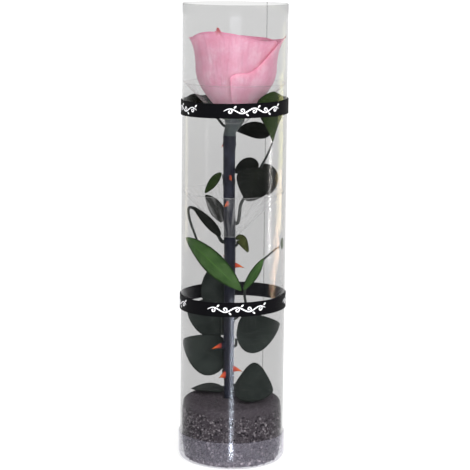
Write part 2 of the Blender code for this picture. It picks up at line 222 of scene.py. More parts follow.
def ripple_group():
    """Film surface: slow waves and fine rub marks, as a height and a roughness."""
    group, given, result = group_named(
        "film_ripple", (("Length", 8.0), ("Rub", 700.0), ("Smooth", 0.15), ("Scuffed", 0.20)),
        ("Height", "Roughness"))
    place = object_place(group)
    rub = noise_at(group, place, given.outputs["Rub"])
    fed(group, result, {
        "Height": noise_at(group, stretched(group, place, UPRIGHT), given.outputs["Length"]),
        "Roughness": spanned(group, rub, 0.45, 0.75, given.outputs["Smooth"], given.outputs["Scuffed"])})
    return group


FILM_RIPPLE = ripple_group()


def clear_sheet(name, tint, haze, colour, metallic, edge_shine, streaks=0.0, wave=0.0004):
    """Clear sheet: see-through face on and mirror-like edge on, with a constant haze.

    The share of the shine is haze plus edge_shine times the fifth power of the
    grazing angle, the same from both sides. Streaks add to the haze in lines that
    run up the sheet, as a painted reflection that the lamps light as milky stripes,
    and wave is the depth of its slow waves in metres.
    """
    paint, tree, shader, output = paint_named(name)
    # Painted reflection: lines of extra milky share running up the sheet.
    if streaks:
        lines = noise_at(tree, stretched(tree, along_place(tree), (50.0, 1.0, 1.0)), 1.0, 3.0)
        haze = spanned(tree, lines, 0.45, 0.8, haze, haze + streaks)
    facing = placed(tree, "ShaderNodeLayerWeight", "Facing", {"Blend": 0.5})
    share = worked_out(tree, "MULTIPLY_ADD", worked_out(tree, "POWER", facing, 5.0), edge_shine, haze,
                       use_clamp=True)
    ripple = tree.nodes.new("ShaderNodeGroup")
    ripple.node_tree = FILM_RIPPLE
    fed(tree, shader, {"Base Color": (*colour, 1.0), "Metallic": metallic,
                       "Roughness": ripple.outputs["Roughness"],
                       "Normal": bumped(tree, ripple.outputs["Height"], wave, 0.6)})
    through = placed(tree, "ShaderNodeBsdfTransparent", "BSDF", {"Color": (tint, tint, tint, 1.0)})
    fed(tree, output, {"Surface": placed(tree, "ShaderNodeMixShader", "Shader", {
        "Fac": share, 1: through, 2: shader.outputs["BSDF"]})})
    return paint


def cap_outline():
    """The cup's section: a stepped floor, a quarter-round corner and a wall with a rounded rim."""
    middle = (CAP_RADIUS - CAP_CORNER, CAP_CORNER)
    half = CAP_WALL / 2.0
    step = CAP_STEP_RADIUS + CAP_STEP
    outer = [[CAP_MIDDLE, CAP_STEP], [CAP_STEP_RADIUS, CAP_STEP], [step, 0.0]]
    inner = [[step, CAP_WALL], [CAP_STEP_RADIUS, CAP_STEP + CAP_WALL], [CAP_MIDDLE, CAP_STEP + CAP_WALL]]
    return np.concatenate([outer, arc(middle, CAP_CORNER, -90.0, 0.0, 14),
                           arc((CAP_RADIUS - half, CAP_RIM - half), half, 0.0, 180.0, 7),
                           arc(middle, CAP_CORNER - CAP_WALL, 0.0, -90.0, 14), inner])


CAP_SHEET = clear_sheet("milky_cap_sheet", 0.97, 0.036, (0.62, 0.60, 0.74), 0.0, 0.5, wave=0.0006)
cap = closed_skin("clear_bottom_cap", turned(cap_outline(), 160))
dress(cap, CAP_SHEET, "clear_cap", "bottom_cap")


# ---------------------------------------------------------------- foam block
# Flower foam, cut as a disc, that grips the foot of the stem. It is crushed and
# crumbly, and the granules hide it except from underneath.
foam_low, foam_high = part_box("foam_block")
FOAM_RADIUS = foam_high[0]
STEM_FOOT = np.array([-2.0, 0.0]) * MM
HOLE_RADIUS = 3.8 * MM


def grain(points, step, seed):
    """Smooth noise from -1 to 1: six crossed sine waves whose directions come from seed."""
    spread = np.random.default_rng(seed)
    total = np.zeros(points.shape[:-1])
    for _ in range(6):
        way = spread.normal(size=3)
        way *= FULL_TURN / (np.linalg.norm(way) * step * spread.uniform(0.7, 1.5))
        total += np.sin(points @ way + spread.uniform(0.0, FULL_TURN))
    return total / 6.0


def bored_disc(outline, sides):
    """A ring whose hole is round the stem: each point slides to the stem as its radius falls."""
    points = turned(outline, sides)
    reach = outline[:, 0].max()
    share = (reach - outline[:, 0]) / (reach - HOLE_RADIUS)
    points[..., 0] += STEM_FOOT[0] * share[None, :]
    return points


def level(reach, height):
    """Points of a section at one height."""
    return np.stack([reach, np.full(len(reach), height)], axis=1)


def upright(reach, heights):
    """Points of a section at one distance from the axis."""
    return np.stack([np.full(len(heights), reach), heights], axis=1)


def foam_outline():
    """A disc's section with softened corners, from the stem hole out and back."""
    low, high, soft, steps = foam_low[2], foam_high[2], 1.2 * MM, 22
    reach = np.linspace(HOLE_RADIUS, FOAM_RADIUS - soft, steps)
    wall = np.linspace(high - soft, low + soft, steps)
    return np.concatenate([level(reach, high), upright(FOAM_RADIUS, wall), level(reach[::-1], low)])


def ramp_of(tree, value, *stops):
    """A colour ramp driven by a value, with (position, colour) stops."""
    ramp = tree.nodes.new("ShaderNodeValToRGB")
    while len(ramp.color_ramp.elements) < len(stops):
        ramp.color_ramp.elements.new(0.5)
    for element, (where, colour) in zip(ramp.color_ramp.elements, stops):
        element.position = where
        element.color = (*colour, 1.0)
    return fed(tree, ramp, {"Fac": value}).outputs["Color"]


def cells_at(tree, place, scale):
    """Small round cells: how far each place is from the middle of its cell."""
    return placed(tree, "ShaderNodeTexVoronoi", "Distance", {"Vector": place, "Scale": scale})


def plain_finish(name, dark, light, scale, roughness, depth, strength=0.5):
    """A dull material: small cells between two colours, with the same cells as bump."""
    paint, tree, shader, _ = paint_named(name)
    cells = cells_at(tree, object_place(tree), scale)
    fed(tree, shader, {"Base Color": ramp_of(tree, cells, (0.0, dark), (0.7, light)),
                       "Roughness": roughness, "Normal": bumped(tree, cells, depth, strength)})
    return paint


foam_points = bored_disc(foam_outline(), 120)
foam_points -= grain(foam_points, 5.0 * MM, 3)[..., None] * foam_points * [0.004, 0.004, 0.0]
foam = closed_skin("foam_disc", foam_points)
FLOWER_FOAM = plain_finish("flower_foam", (0.03, 0.05, 0.03), (0.12, 0.16, 0.10), 1500.0, 0.95, 0.0004)
dress(foam, FLOWER_FOAM, "foam", "foam_block")


# -------------------------------------------------------------- granule coat
# Dark mineral granules glued over the foam in a crust, smoother on top where they
# were pressed flat. Each grain is a small broken stone, and they differ in tone.
coat_low, coat_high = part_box("granule_coat")
COAT_RADIUS = coat_high[0]
COAT_TOP = coat_high[2]
CRUST = 2.4 * MM
GRAIN_SIZE = (0.55 * MM, 1.05 * MM)
FINE_SIZE = (0.30 * MM, 0.55 * MM)
SMOOTH_ABOVE = 35.5 * MM
SIDE_GRAINS = 4400
TOP_GRAINS = 3400
FLOOR_GRAINS = 700
SHOULDER = 3.2 * MM
CRUST_DRAW_IN = 1.9 * MM
CRUST_FOOT = 12.0 * MM
GRAIN_SEED = 41
STONE_CORNERS = 12


def narrowing(height):
    """How far the crust draws in towards its foot, evenly over its lowest part."""
    return CRUST_DRAW_IN * np.clip(1.0 - height / CRUST_FOOT, 0.0, 1.0)


def crust_outline():
    """The crust's section: up the outside, round a soft shoulder, in to the stem and back."""
    low, high, edge = coat_low[2], COAT_TOP - 0.45 * MM, COAT_RADIUS - 0.5 * MM
    lining = FOAM_RADIUS + 0.3 * MM
    outer = upright(edge, np.linspace(low + 2.0 * MM, high - SHOULDER, 26))
    outer[:, 0] -= narrowing(outer[:, 1])
    return np.concatenate([
        outer, arc((edge - SHOULDER, high - SHOULDER), SHOULDER, 10.0, 90.0, 9),
        level(np.linspace(edge - SHOULDER - MM, HOLE_RADIUS, 18), high),
        level(np.linspace(HOLE_RADIUS, lining, 12), high - CRUST + 0.6 * MM),
        upright(lining, np.linspace(high - CRUST, low, 12)), [[edge - 3.0 * MM, low]]])


def broken_stone():
    """A stone's twelve corners and twenty faces: an icosahedron of radius one."""
    golden = (1.0 + 5.0**0.5) / 2.0
    corners = np.array([(-1, golden, 0), (1, golden, 0), (-1, -golden, 0), (1, -golden, 0),
                        (0, -1, golden), (0, 1, golden), (0, -1, -golden), (0, 1, -golden),
                        (golden, 0, -1), (golden, 0, 1), (-golden, 0, -1), (-golden, 0, 1)])
    gaps = np.linalg.norm(corners[:, None] - corners[None], axis=2)
    near = gaps < 2.1
    faces = [(a, b, c) for a in range(STONE_CORNERS) for b in range(a + 1, STONE_CORNERS)
             for c in range(b + 1, STONE_CORNERS) if near[a, b] and near[b, c] and near[a, c]]
    faces = np.array([f if np.linalg.det(corners[list(f)]) > 0 else f[::-1] for f in faces])
    return corners / np.linalg.norm(corners[0]), faces


def grain_places(draw):
    """Places for the grains: even at random over the side, the top and the underside."""
    edge = COAT_RADIUS - 0.55 * MM
    turn = draw.uniform(0.0, FULL_TURN, SIDE_GRAINS)
    rise = draw.uniform(coat_low[2] + 0.6 * MM, SMOOTH_ABOVE, SIDE_GRAINS)
    side = np.stack([(edge - narrowing(rise)) * np.sin(turn), (edge - narrowing(rise)) * np.cos(turn), rise],
                    axis=1)
    reach = np.sqrt(draw.uniform(0.02, 1.0, TOP_GRAINS)) * (edge - 0.6 * MM)
    turn = draw.uniform(0.0, FULL_TURN, TOP_GRAINS)
    drop = np.clip(reach - (edge - SHOULDER), 0.0, None) ** 2 / (3.4 * MM)
    top = np.stack([reach * np.sin(turn), reach * np.cos(turn), COAT_TOP - 0.5 * MM - drop], axis=1)
    top = top[np.hypot(top[:, 0] - STEM_FOOT[0], top[:, 1]) > HOLE_RADIUS + 0.8 * MM]
    reach = np.sqrt(draw.uniform(0.9, 1.0, FLOOR_GRAINS)) * (edge - SHOULDER)
    turn = draw.uniform(0.0, FULL_TURN, FLOOR_GRAINS)
    floor = np.stack([reach * np.sin(turn), reach * np.cos(turn),
                      np.full(FLOOR_GRAINS, coat_low[2] + 0.5 * MM)], axis=1)
    return np.concatenate([side, top, floor])


def scattered(places, sizes, draw):
    """Copies of the broken stone, each turned, squashed and set at its place."""
    corners, faces = broken_stone()
    count = len(places)
    turns = np.linalg.qr(draw.normal(size=(count, 3, 3)))[0]
    turns *= np.sign(np.linalg.det(turns))[:, None, None]
    squash = draw.uniform(0.6, 1.15, (count, 1, 3))
    bodies = np.einsum("nij,nkj->nki", turns, corners[None] * squash) * sizes[:, None, None]
    points = (bodies + places[:, None, :]).reshape(-1, 3)
    index = (faces[None] + STONE_CORNERS * np.arange(count)[:, None, None]).reshape(-1, 3)
    return points, index


def marked(tree, mark):
    """The value that a mesh carries under a name."""
    return placed(tree, "ShaderNodeAttribute", "Fac", {}, attribute_name=mark)


def granule_finish():
    """Glued mineral grains: the tone follows each grain's own value, with fine pitting."""
    paint, tree, shader, _ = paint_named("glued_granules")
    tone = ramp_of(tree, marked(tree, "tone"), (0.0, (0.016, 0.014, 0.018)), (0.40, (0.070, 0.061, 0.070)),
                   (0.75, (0.150, 0.134, 0.148)), (1.0, (0.30, 0.27, 0.29)))
    fed(tree, shader, {"Base Color": tone, "Roughness": 0.75, "Specular IOR Level": 0.12,
                       "Normal": bumped(tree, noise_at(tree, object_place(tree), 2600.0), 0.0002)})
    return paint


GRANULES = granule_finish()
crust_points = bored_disc(crust_outline(), 150)
crust_points += grain(crust_points, 3.0 * MM, 5)[..., None] * 0.12 * MM
crust_tone = 0.35 + 0.25 * grain(crust_points, 1.6 * MM, 8)
crust = closed_skin("granule_crust", crust_points, {"tone": crust_tone})
dress(crust, GRANULES, "granules", "granule_coat")

draw_grains = np.random.default_rng(GRAIN_SEED)
grain_spots = grain_places(draw_grains)
fine = grain_spots[:, 2] > SMOOTH_ABOVE
grain_sizes = np.where(fine, draw_grains.uniform(*FINE_SIZE, len(fine)),
                       draw_grains.uniform(*GRAIN_SIZE, len(fine)))
grain_tones = np.where(fine, draw_grains.uniform(0.35, 0.55, len(fine)),
                       draw_grains.beta(0.8, 1.2, len(fine)))
stone_points, stone_faces = scattered(grain_spots, grain_sizes, draw_grains)
stone_points[:, 2] = np.maximum(stone_points[:, 2], coat_low[2])
stones = mesh_of("loose_granules", stone_points, stone_faces, None,
                 {"tone": np.repeat(grain_tones, STONE_CORNERS)})
stones.data.shade_flat()
dress(stones, GRANULES, "granules")


# ----------------------------------------------------------- stem and thorns
# One woody rose stem, its skin dyed blue-black. It swells where leaves grew, and
# its hooked thorns, still red and orange, grew out of the same skin.
# the stem's place to the side, height and radius, in millimetres, as are all lines below
STEM_LINE = ((-2.0, 5.0, 3.1), (-2.0, 40.0, 3.2), (-2.2, 74.0, 3.35), (-2.3, 110.0, 3.6),
             (-2.45, 149.0, 3.85), (-3.0, 190.0, 3.9), (-3.15, 209.0, 4.0), (-3.15, 218.6, 4.3))
STEM_KNOTS = (56.0, 82.0, 98.0, 148.0, 161.0, 188.0, 213.0)
STEM_SIDES = 28
THORN_ROWS = 14
# height, bearing, length, half the height of the root, and the bark's share of the length
THORNS = ((191.3, 10.0, 5.5, 2.1, 0.0), (173.9, -20.0, 6.0, 2.3, 0.0), (132.0, 80.0, 6.5, 2.2, 0.0),
          (77.5, -62.0, 10.0, 3.0, 0.35), (57.0, -60.0, 4.5, 3.4, 0.0), (61.0, 78.0, 6.0, 2.6, 0.0),
          (205.0, 170.0, 5.0, 2.1, 0.0), (138.0, -150.0, 5.0, 2.1, 0.0), (90.0, 160.0, 5.5, 2.1, 0.0),
          (213.0, -80.0, 1.2, 2.4, 0.6))


def smooth_through(points, count):
    """Points on the Catmull-Rom curve through the given ones, evenly by number."""
    given = np.array(points, dtype=float)
    knots = np.concatenate([[2 * given[0] - given[1]], given, [2 * given[-1] - given[-2]]])
    places = np.linspace(0.0, len(points) - 1.0, count)
    start = np.minimum(places.astype(int), len(points) - 2)
    t = (places - start)[:, None]
    a, b, c, d = (knots[start + k] for k in range(4))
    return 0.5 * (2 * b + (c - a) * t + (2 * a - 5 * b + 4 * c - d) * t**2
                  + (3 * b - a - 3 * c + d) * t**3)


def swept(path, radius, sides):
    """A round section carried along a path: the frame is turned as little as possible.

    Each end closes in a dome of two more rings, the last one nearly a point. Returns
    the grid of points, whose rows follow the path.
    """
    run = np.gradient(path, axis=0)
    run /= np.linalg.norm(run, axis=1, keepdims=True)
    side = np.cross(run[0], [0.0, 1.0, 0.2])
    sides_along = []
    for way in run:
        side = side - way * np.dot(side, way)
        side = side / np.linalg.norm(side)
        sides_along.append(side)
    side = np.array(sides_along)
    other = np.cross(run, side)
    radius = np.broadcast_to(radius, len(path)).copy()
    dome_reach, dome_size = np.array([[0.5], [0.35]]), np.array([0.02, 0.75])
    path = np.concatenate([path[:1] - run[:1] * radius[0] * dome_reach, path,
                           path[-1:] + run[-1:] * radius[-1] * dome_reach[::-1]])
    side, other = (np.concatenate([v[[0, 0]], v, v[[-1, -1]]]) for v in (side, other))
    radius = np.concatenate([radius[0] * dome_size, radius, radius[-1] * dome_size[::-1]])
    angle = bearings(sides)[None, :, None]
    spokes = side[:, None] * np.cos(angle) + other[:, None] * np.sin(angle)
    return path[:, None] + spokes * radius[:, None, None]


def rod_skin(grid):
    """Corners, quads and UVs of a swept body: rows open, columns joined, ends closed."""
    rows, columns = grid.shape[:2]
    ring = np.arange(columns // 2 - 1)
    lid = np.stack([ring, ring + 1, columns - 2 - ring, columns - 1 - ring], axis=-1)
    faces = np.concatenate([woven(rows, columns, False), lid[:, ::-1], lid + (rows - 1) * columns])
    corners = grid.reshape(-1, 3)
    faces = outward(corners, faces)
    uvs = np.stack([(faces % columns) / columns, (faces // columns) / (rows - 1.0)], axis=-1)
    return corners, faces, uvs


def stem_at(height):
    """The stem's sideways place and its radius at a height, in millimetres."""
    place, heights, radius = np.array(STEM_LINE).T
    return np.interp(height, heights, place), np.interp(height, heights, radius)


def stem_points():
    """The stem's grid: a smooth line with swollen knots and faint ribs round it."""
    place, height, radius = smooth_through(STEM_LINE, 300).T
    swell = sum(0.34 * np.exp(-((height - knot) / 1.8) ** 2) for knot in STEM_KNOTS)
    path = np.stack([place + 0.18 * np.sin(height / 17.0), 0.25 * np.sin(height / 23.0), height], axis=1)
    grid = swept(path * MM, (radius + swell) * MM, STEM_SIDES)
    ribs = 0.0125 * np.sin(5.0 * bearings(STEM_SIDES))
    middle = grid.mean(axis=1, keepdims=True)
    return middle + (grid - middle) * (1.0 + ribs)[None, :, None]


def thorn_points(height, bearing, length, root):
    """One thorn: a tall oval root that thins along a path hooked downwards to a tip."""
    place, radius = stem_at(height)
    bearing = np.radians(bearing)
    out = np.array([np.sin(bearing), -np.cos(bearing), 0.0])
    side = np.array([-out[1], out[0], 0.0])
    up = np.array([0.0, 0.0, 1.0])
    t = np.linspace(0.0, 1.0, THORN_ROWS)[:, None]
    path = (np.array([place, 0.0, height]) + out * (radius - 1.0 + (length + 1.0) * t)
            + up * (0.6 * t - 2.4 * t**2))
    girth = root * (1.0 - t[:, 0]) ** 1.25 + 0.10
    angle = bearings(12)[:, None]
    spokes = up * np.cos(angle) + side * np.sin(angle) * 0.48
    return (path[:, None] + spokes[None] * girth[:, None, None]) * MM


def thorn_reach(bare):
    """How far along a thorn each of its rings is, from 0 where the bark ends to 1 at the tip."""
    return np.clip((np.linspace(0.05, 1.0, THORN_ROWS) - bare) / (1.0 - bare), 0.0, 1.0)[:, None]


def mottle_group():
    """Uneven dye on plant skin: two scales of noise mixed into one value from 0 to 1."""
    group, given, result = group_named(
        "plant_mottle", (("Patches", 90.0), ("Specks", 900.0), ("Share", 0.35)), ("Value",))
    place = object_place(group)
    patches, specks = (noise_at(group, place, given.outputs[label], 4.0) for label in ("Patches", "Specks"))
    mixed = placed(group, "ShaderNodeMix", 0, {0: given.outputs["Share"], 2: patches, 3: specks})
    fed(group, result, {"Value": mixed})
    return group


PLANT_MOTTLE = mottle_group()


def mottled(tree, patches, specks, share):
    """Places the mottle group in a material and returns its value."""
    return placed(tree, "ShaderNodeGroup", "Value",
                  {"Patches": patches, "Specks": specks, "Share": share}, node_tree=PLANT_MOTTLE)


def blended(tree, share, under, over):
    """Mixes two colours by a value; the one that lies over may be a plain colour."""
    if not isinstance(over, bpy.types.NodeSocket):
        over = (*over, 1.0)
    return placed(tree, "ShaderNodeMix", 2, {0: share, 6: under, 7: over}, data_type="RGBA")


def stem_finish():
    """Dyed bark: blue-black with paler patches and length-wise streaks, red on the thorns."""
    paint, tree, shader, _ = paint_named("dyed_stem")
    bark = ramp_of(tree, mottled(tree, 130.0, 1500.0, 0.4), (0.30, (0.002, 0.0022, 0.004)),
                   (0.52, (0.009, 0.010, 0.019)), (0.72, (0.034, 0.038, 0.058)))
    reach = marked(tree, "thorn")
    thorn = ramp_of(tree, reach, (0.0, (0.10, 0.02, 0.02)), (0.35, (0.42, 0.055, 0.03)),
                    (0.75, (0.62, 0.13, 0.03)), (1.0, (0.10, 0.02, 0.015)))
    streaks = noise_at(tree, stretched(tree, object_place(tree), UPRIGHT), 1800.0)
    fed(tree, shader, {
        "Base Color": blended(tree, worked_out(tree, "GREATER_THAN", reach, 0.02), bark, thorn),
        "Roughness": 0.42, "Specular IOR Level": 0.3, "Normal": bumped(tree, streaks, 0.00025, 0.5)})
    return paint


def joined(name, bodies, marks):
    """One piece from several swept bodies; marks has a list of values for each body."""
    corners, faces, uvs, values, start = [], [], [], {mark: [] for mark in marks}, 0
    for k, grid in enumerate(bodies):
        body_corners, body_faces, body_uvs = rod_skin(grid)
        corners.append(body_corners)
        faces.append(body_faces + start)
        uvs.append(body_uvs)
        start += len(body_corners)
        for mark in marks:
            values[mark].append(np.broadcast_to(marks[mark][k], grid.shape[:2]).ravel())
    return mesh_of(name, np.concatenate(corners), np.concatenate(faces), np.concatenate(uvs),
                   {mark: np.concatenate(values[mark]) for mark in marks})


DYED_STEM = stem_finish()
stem = joined("rose_stem", [stem_points(), *(thorn_points(*shape) for *shape, _ in THORNS)],
              {"thorn": [0.0, *(thorn_reach(bare) for *_, bare in THORNS)]})
dress(stem, DYED_STEM, "stem_bark", "stem")


# ---------------------------------------------------------- calyx and sepals
# The calyx is the stem's swollen top, which carries the flower. Five thin green
# sepals with toothed edges lie against the outer petals.
CALYX_LINE = ((-3.1, 219.0, 4.2), (-2.6, 222.0, 4.0), (-1.4, 225.0, 4.8),
              (-0.6, 227.8, 6.0), (0.0, 230.2, 6.9), (0.0, 231.0, 5.8))
CALYX_SIDES = 40
SEPALS = 5


def surface_normals(grid):
    """The unit normal at each point of a grid: along crossed with across."""
    normal = np.cross(np.gradient(grid, axis=0), np.gradient(grid, axis=1))
    return normal / np.maximum(np.linalg.norm(normal, axis=-1, keepdims=True), 1e-12)


def blade(name, grid, thickness, marks=None):
    """A thin closed sheet: the grid moved half its thickness each way, joined round its rim.

    Each corner carries "under", which is 0 on the first side and 1 on the other.
    """
    rows, columns = grid.shape[:2]
    count = rows * columns
    normal = surface_normals(grid) * thickness / 2.0
    corners = np.concatenate([(grid + normal).reshape(-1, 3), (grid - normal).reshape(-1, 3)])
    first = (np.arange(rows - 1)[:, None] * columns + np.arange(columns - 1)[None, :]).ravel()
    front = np.stack([first, first + columns, first + columns + 1, first + 1], axis=1)
    back = front[:, ::-1] + count
    rim = np.concatenate([np.arange(columns), np.arange(2, rows + 1) * columns - 1,
                          np.arange(count - 2, count - columns - 1, -1),
                          np.arange(rows - 2, 0, -1) * columns])
    after = np.roll(rim, -1)
    band = np.stack([rim, after, after + count, rim + count], axis=1)
    faces = outward(corners, np.concatenate([front, back, band]))
    place = faces % count
    uvs = np.stack([(place % columns) / (columns - 1.0), (place // columns) / (rows - 1.0)], axis=-1)
    values = {"under": np.repeat([0.0, 1.0], count)}
    for mark, value in (marks or {}).items():
        values[mark] = np.tile(np.broadcast_to(value, (rows, columns)).ravel(), 2)
    return mesh_of(name, corners, faces, uvs, values)


def along_and_across(rows, columns):
    """Places on a blade: 0 to 1 along it as a column, and -1 to 1 across it as a row."""
    return np.linspace(0.0, 1.0, rows)[:, None], np.linspace(-1.0, 1.0, columns)[None, :]


def sepal_points(bearing):
    """A sepal: a lance shape on a cone, toothed, its tip turned a little outwards."""
    along, across = along_and_across(40, 13)
    teeth = 1.0 + 0.16 * np.abs(np.sin(along * 11.0)) * (along > 0.3)
    half = 2.5 * (1.0 - along) ** 0.8 * teeth + 0.25
    reach = 8.2 + 11.0 * along + 0.25 * across**2
    height = 230.2 + 10.4 * along**1.12 + 0.3 * (1.0 - across**2) * along
    return round_axis(reach, np.radians(bearing) + half * across / reach, height) * MM


def skin_finish(name, dark, middle, light, roughness, sheen):
    """Plant skin of three tones by mottle, with fine cells as bump."""
    paint, tree, shader, _ = paint_named(name)
    tone = ramp_of(tree, mottled(tree, 160.0, 1400.0, 0.4), (0.3, dark), (0.5, middle), (0.72, light))
    fed(tree, shader, {"Base Color": tone, "Roughness": roughness, "Sheen Weight": sheen,
                       "Normal": bumped(tree, cells_at(tree, object_place(tree), 2200.0), 0.00015)})
    return paint


calyx_place, calyx_height, calyx_radius = smooth_through(CALYX_LINE, 34).T
calyx_path = np.stack([calyx_place, 0.0 * calyx_place, calyx_height], axis=1)
calyx_grid = swept(calyx_path * MM, calyx_radius * MM, CALYX_SIDES)
calyx_ribs = 1.0 + 0.025 * np.cos(SEPALS * bearings(CALYX_SIDES))
calyx_middle = calyx_grid.mean(axis=1, keepdims=True)
calyx_grid = calyx_middle + (calyx_grid - calyx_middle) * calyx_ribs[None, :, None]
CALYX_SKIN = skin_finish("calyx_skin", (0.015, 0.02, 0.024), (0.035, 0.045, 0.05), (0.07, 0.085, 0.075),
                         0.5, 0.1)
dress(joined("calyx_cup", [calyx_grid], {}), CALYX_SKIN, "calyx_green", "calyx")
SEPAL_SKIN = skin_finish("sepal_skin", (0.012, 0.02, 0.01), (0.03, 0.06, 0.022), (0.07, 0.11, 0.04),
                         0.55, 0.1)
for k in range(SEPALS):
    sepal = blade(f"sepal_blade_{k + 1}", sepal_points(30.0 + 360.0 / SEPALS * k), 0.35 * MM)
    dress(sepal, SEPAL_SKIN, "calyx_green", f"sepal_{k + 1}")


# -------------------------------------------------------- petals of the rose
# A preserved rose: broad velvety petals wrapped round each other from a narrow
# claw, rolled outwards at the lip, and paler low down. The heart is rolled tight.
FLOWER_BASE = 231.9
FLOWER_TOP = 283.6
LAYERS = 14
INNERMOST = 0.8
GOLDEN_ANGLE = 137.5
PETAL_THICKNESS = 0.32 * MM
# bearing, half width, tip height, fall of the left and right margin, where the tip
# stands across the petal, and the browned places on the rim as (across, strength)
OUTER_PETALS = (
    (80.0, 87.0, 284.0, 21.0, 3.0, 0.0, ((0.11, 0.9),)),
    (-26.0, 94.0, 289.0, 5.6, 6.5, 0.07, ((0.07, 1.0), (-0.68, 0.8))),
    (178.0, 80.0, 283.4, 1.6, 2.0, 0.0, ()),
    (18.0, 62.0, 282.0, 4.0, 3.0, 0.0, ()),
    (-36.0, 62.0, 284.0, 4.5, 5.0, 0.0, ()),
)
CLAW_SPREAD = 11.0
CLAW_END = 0.10
BLADE_START = 0.48
INNER_FALL = 3.5
INNER_TIP = 283.4
INNER_DROP = 0.22
INNER_WIDTH = 60.0
INNER_WIDENING = 2.0
PETAL_ROWS, PETAL_COLUMNS = 64, 97
PETAL_SEED = 100
RIM_START = 0.88


def eased(share):
    """A smooth step: three times the square of the share less twice its cube."""
    return share**2 * (3.0 - 2.0 * share)


def beyond(place, start):
    """How far a place is past start, as a share of the way from there to 1."""
    return np.clip((place - start) / (1.0 - start), 0.0, 1.0)


def ridge(place, middle, width):
    """A bell curve of height 1 round its middle."""
    return np.exp(-(((place - middle) / width) ** 2))


def layer_radius(layer, rise):
    """Radius of a petal layer, 0 outermost to 1 at the heart, at a rise from 0 to 1."""
    swell = np.sin(np.pi / 2.0 * np.clip(rise / 0.6, 0.0, 1.0))
    flare = np.clip((rise - 0.6) / 0.4, 0.0, None) ** 2
    return 6.0 - 4.0 * layer + 21.3 * (1.0 - layer) * swell + (4.3 - 9.9 * layer) * flare


def petal_points(layer, bearing, half_width, tip, left_fall, right_fall, peak, browned, seed):
    """A petal's grid over along (0 at the claw) and across (-1 to 1).

    Its margin falls from the tip in a smooth step, its spread grows as a sine, the
    lip rolls outwards, and slow waves and one long crease run up the blade.
    """
    draw = np.random.default_rng(seed)
    along, across = along_and_across(PETAL_ROWS, PETAL_COLUMNS)
    fall = np.where(across < peak, left_fall, right_fall)
    waves = np.sin(across * draw.uniform(4.0, 6.0) + draw.uniform(0.0, 6.0))
    waves += 0.5 * np.sin(across * draw.uniform(8.0, 12.0) + draw.uniform(0.0, 6.0))
    margin = tip - fall * eased(np.clip(np.abs(across - peak) / 0.75, 0.0, 1.0)) + 0.35 * waves
    for place, strength in browned:
        margin = margin + 3.4 * strength**6 * ridge(across, place, 0.022)
    margin = margin - 3.0 * beyond(np.abs(across), RIM_START) ** 2
    height = FLOWER_BASE + (margin - FLOWER_BASE) * along**1.15
    rise = (height - FLOWER_BASE) / (FLOWER_TOP - FLOWER_BASE)
    widening = np.sin(np.pi / 2.0 * np.clip((along - CLAW_END) / (BLADE_START - CLAW_END), 0.0, 1.0))
    spread = CLAW_SPREAD + (half_width - CLAW_SPREAD) * widening
    lip = beyond(along, 0.86) ** 2
    side_lip = beyond(np.abs(across), RIM_START) ** 2 * widening
    outer = 1.0 - layer / INNERMOST
    crease = draw.uniform(-0.35, 0.35)
    radius = layer_radius(layer, rise) + (0.9 * lip + 0.35 * side_lip) * (0.3 + 0.7 * outer)
    radius = radius + 0.22 * waves * along**3 * (0.4 + 0.6 * outer)
    radius = radius - 0.25 * ridge(across, crease + 0.15 * along, 0.05) * along * (1.0 - lip)
    return round_axis(radius, np.radians(bearing + spread * across), height - 0.5 * lip * outer) * MM


def petal_finish():
    """Preserved petal: pink that pales to the claw, fine veins up the blade, browned tips, and painted shade
    in deeper pink along the rim.
    """
    paint, tree, shader, _ = paint_named("preserved_petal")
    place = along_place(tree)
    across, along = (placed(tree, "ShaderNodeSeparateXYZ", way, {"Vector": place}) for way in "XY")
    tone = ramp_of(tree, mottled(tree, 110.0, 700.0, 0.25), (0.32, (0.80, 0.25, 0.36)),
                   (0.5, (0.88, 0.32, 0.44)), (0.68, (0.94, 0.44, 0.55)))
    veins = noise_at(tree, stretched(tree, place, (26.0, 2.0, 1.0)), 1.6, 5.0)
    vein_tone = ramp_of(tree, along, (0.0, (0.80, 0.48, 0.52)), (1.0, (0.72, 0.22, 0.34)))
    tone = blended(tree, spanned(tree, veins, 0.42, 0.70, 0.0, 0.60), tone, vein_tone)
    low = ramp_of(tree, along, (0.0, (1.0, 1.0, 1.0)), (0.16, (0.0, 0.0, 0.0)))
    pale = ramp_of(tree, across, (0.0, (0.86, 0.62, 0.60)), (1.0, (0.84, 0.60, 0.60)))
    tone = blended(tree, low, tone, pale)
    # Painted shade: the petal darkens to a deeper pink along its rim.
    tone = blended(tree, marked(tree, "rim"), tone, (0.55, 0.14, 0.24))
    tone = blended(tree, marked(tree, "tip"), tone, (0.30, 0.06, 0.05))
    fed(tree, shader, {
        "Base Color": tone, "Normal": bumped(tree, veins, 0.0006, 0.7), "Roughness": 0.62,
        "Specular IOR Level": 0.3, "Sheen Weight": 0.2, "Sheen Roughness": 0.5, "Subsurface Weight": 0.6,
        "Subsurface Radius": (1.0, 0.55, 0.6), "Subsurface Scale": 0.004})
    return paint


def petal_marks(browned, rows, columns):
    """Where a petal's rim gets painted shade in deeper pink, and where it is browned."""
    along, across = along_and_across(rows, columns)
    rim = np.maximum(0.55 * beyond(along, 0.965), 0.4 * beyond(np.abs(across), 0.965) * (along > 0.2))
    near_lip = np.clip((along - 0.93) / 0.03, 0.0, 1.0)
    tip = sum((strength * ridge(across, place, 0.03) * near_lip for place, strength in browned), 0.0 * rim)
    return {"rim": rim, "tip": tip}


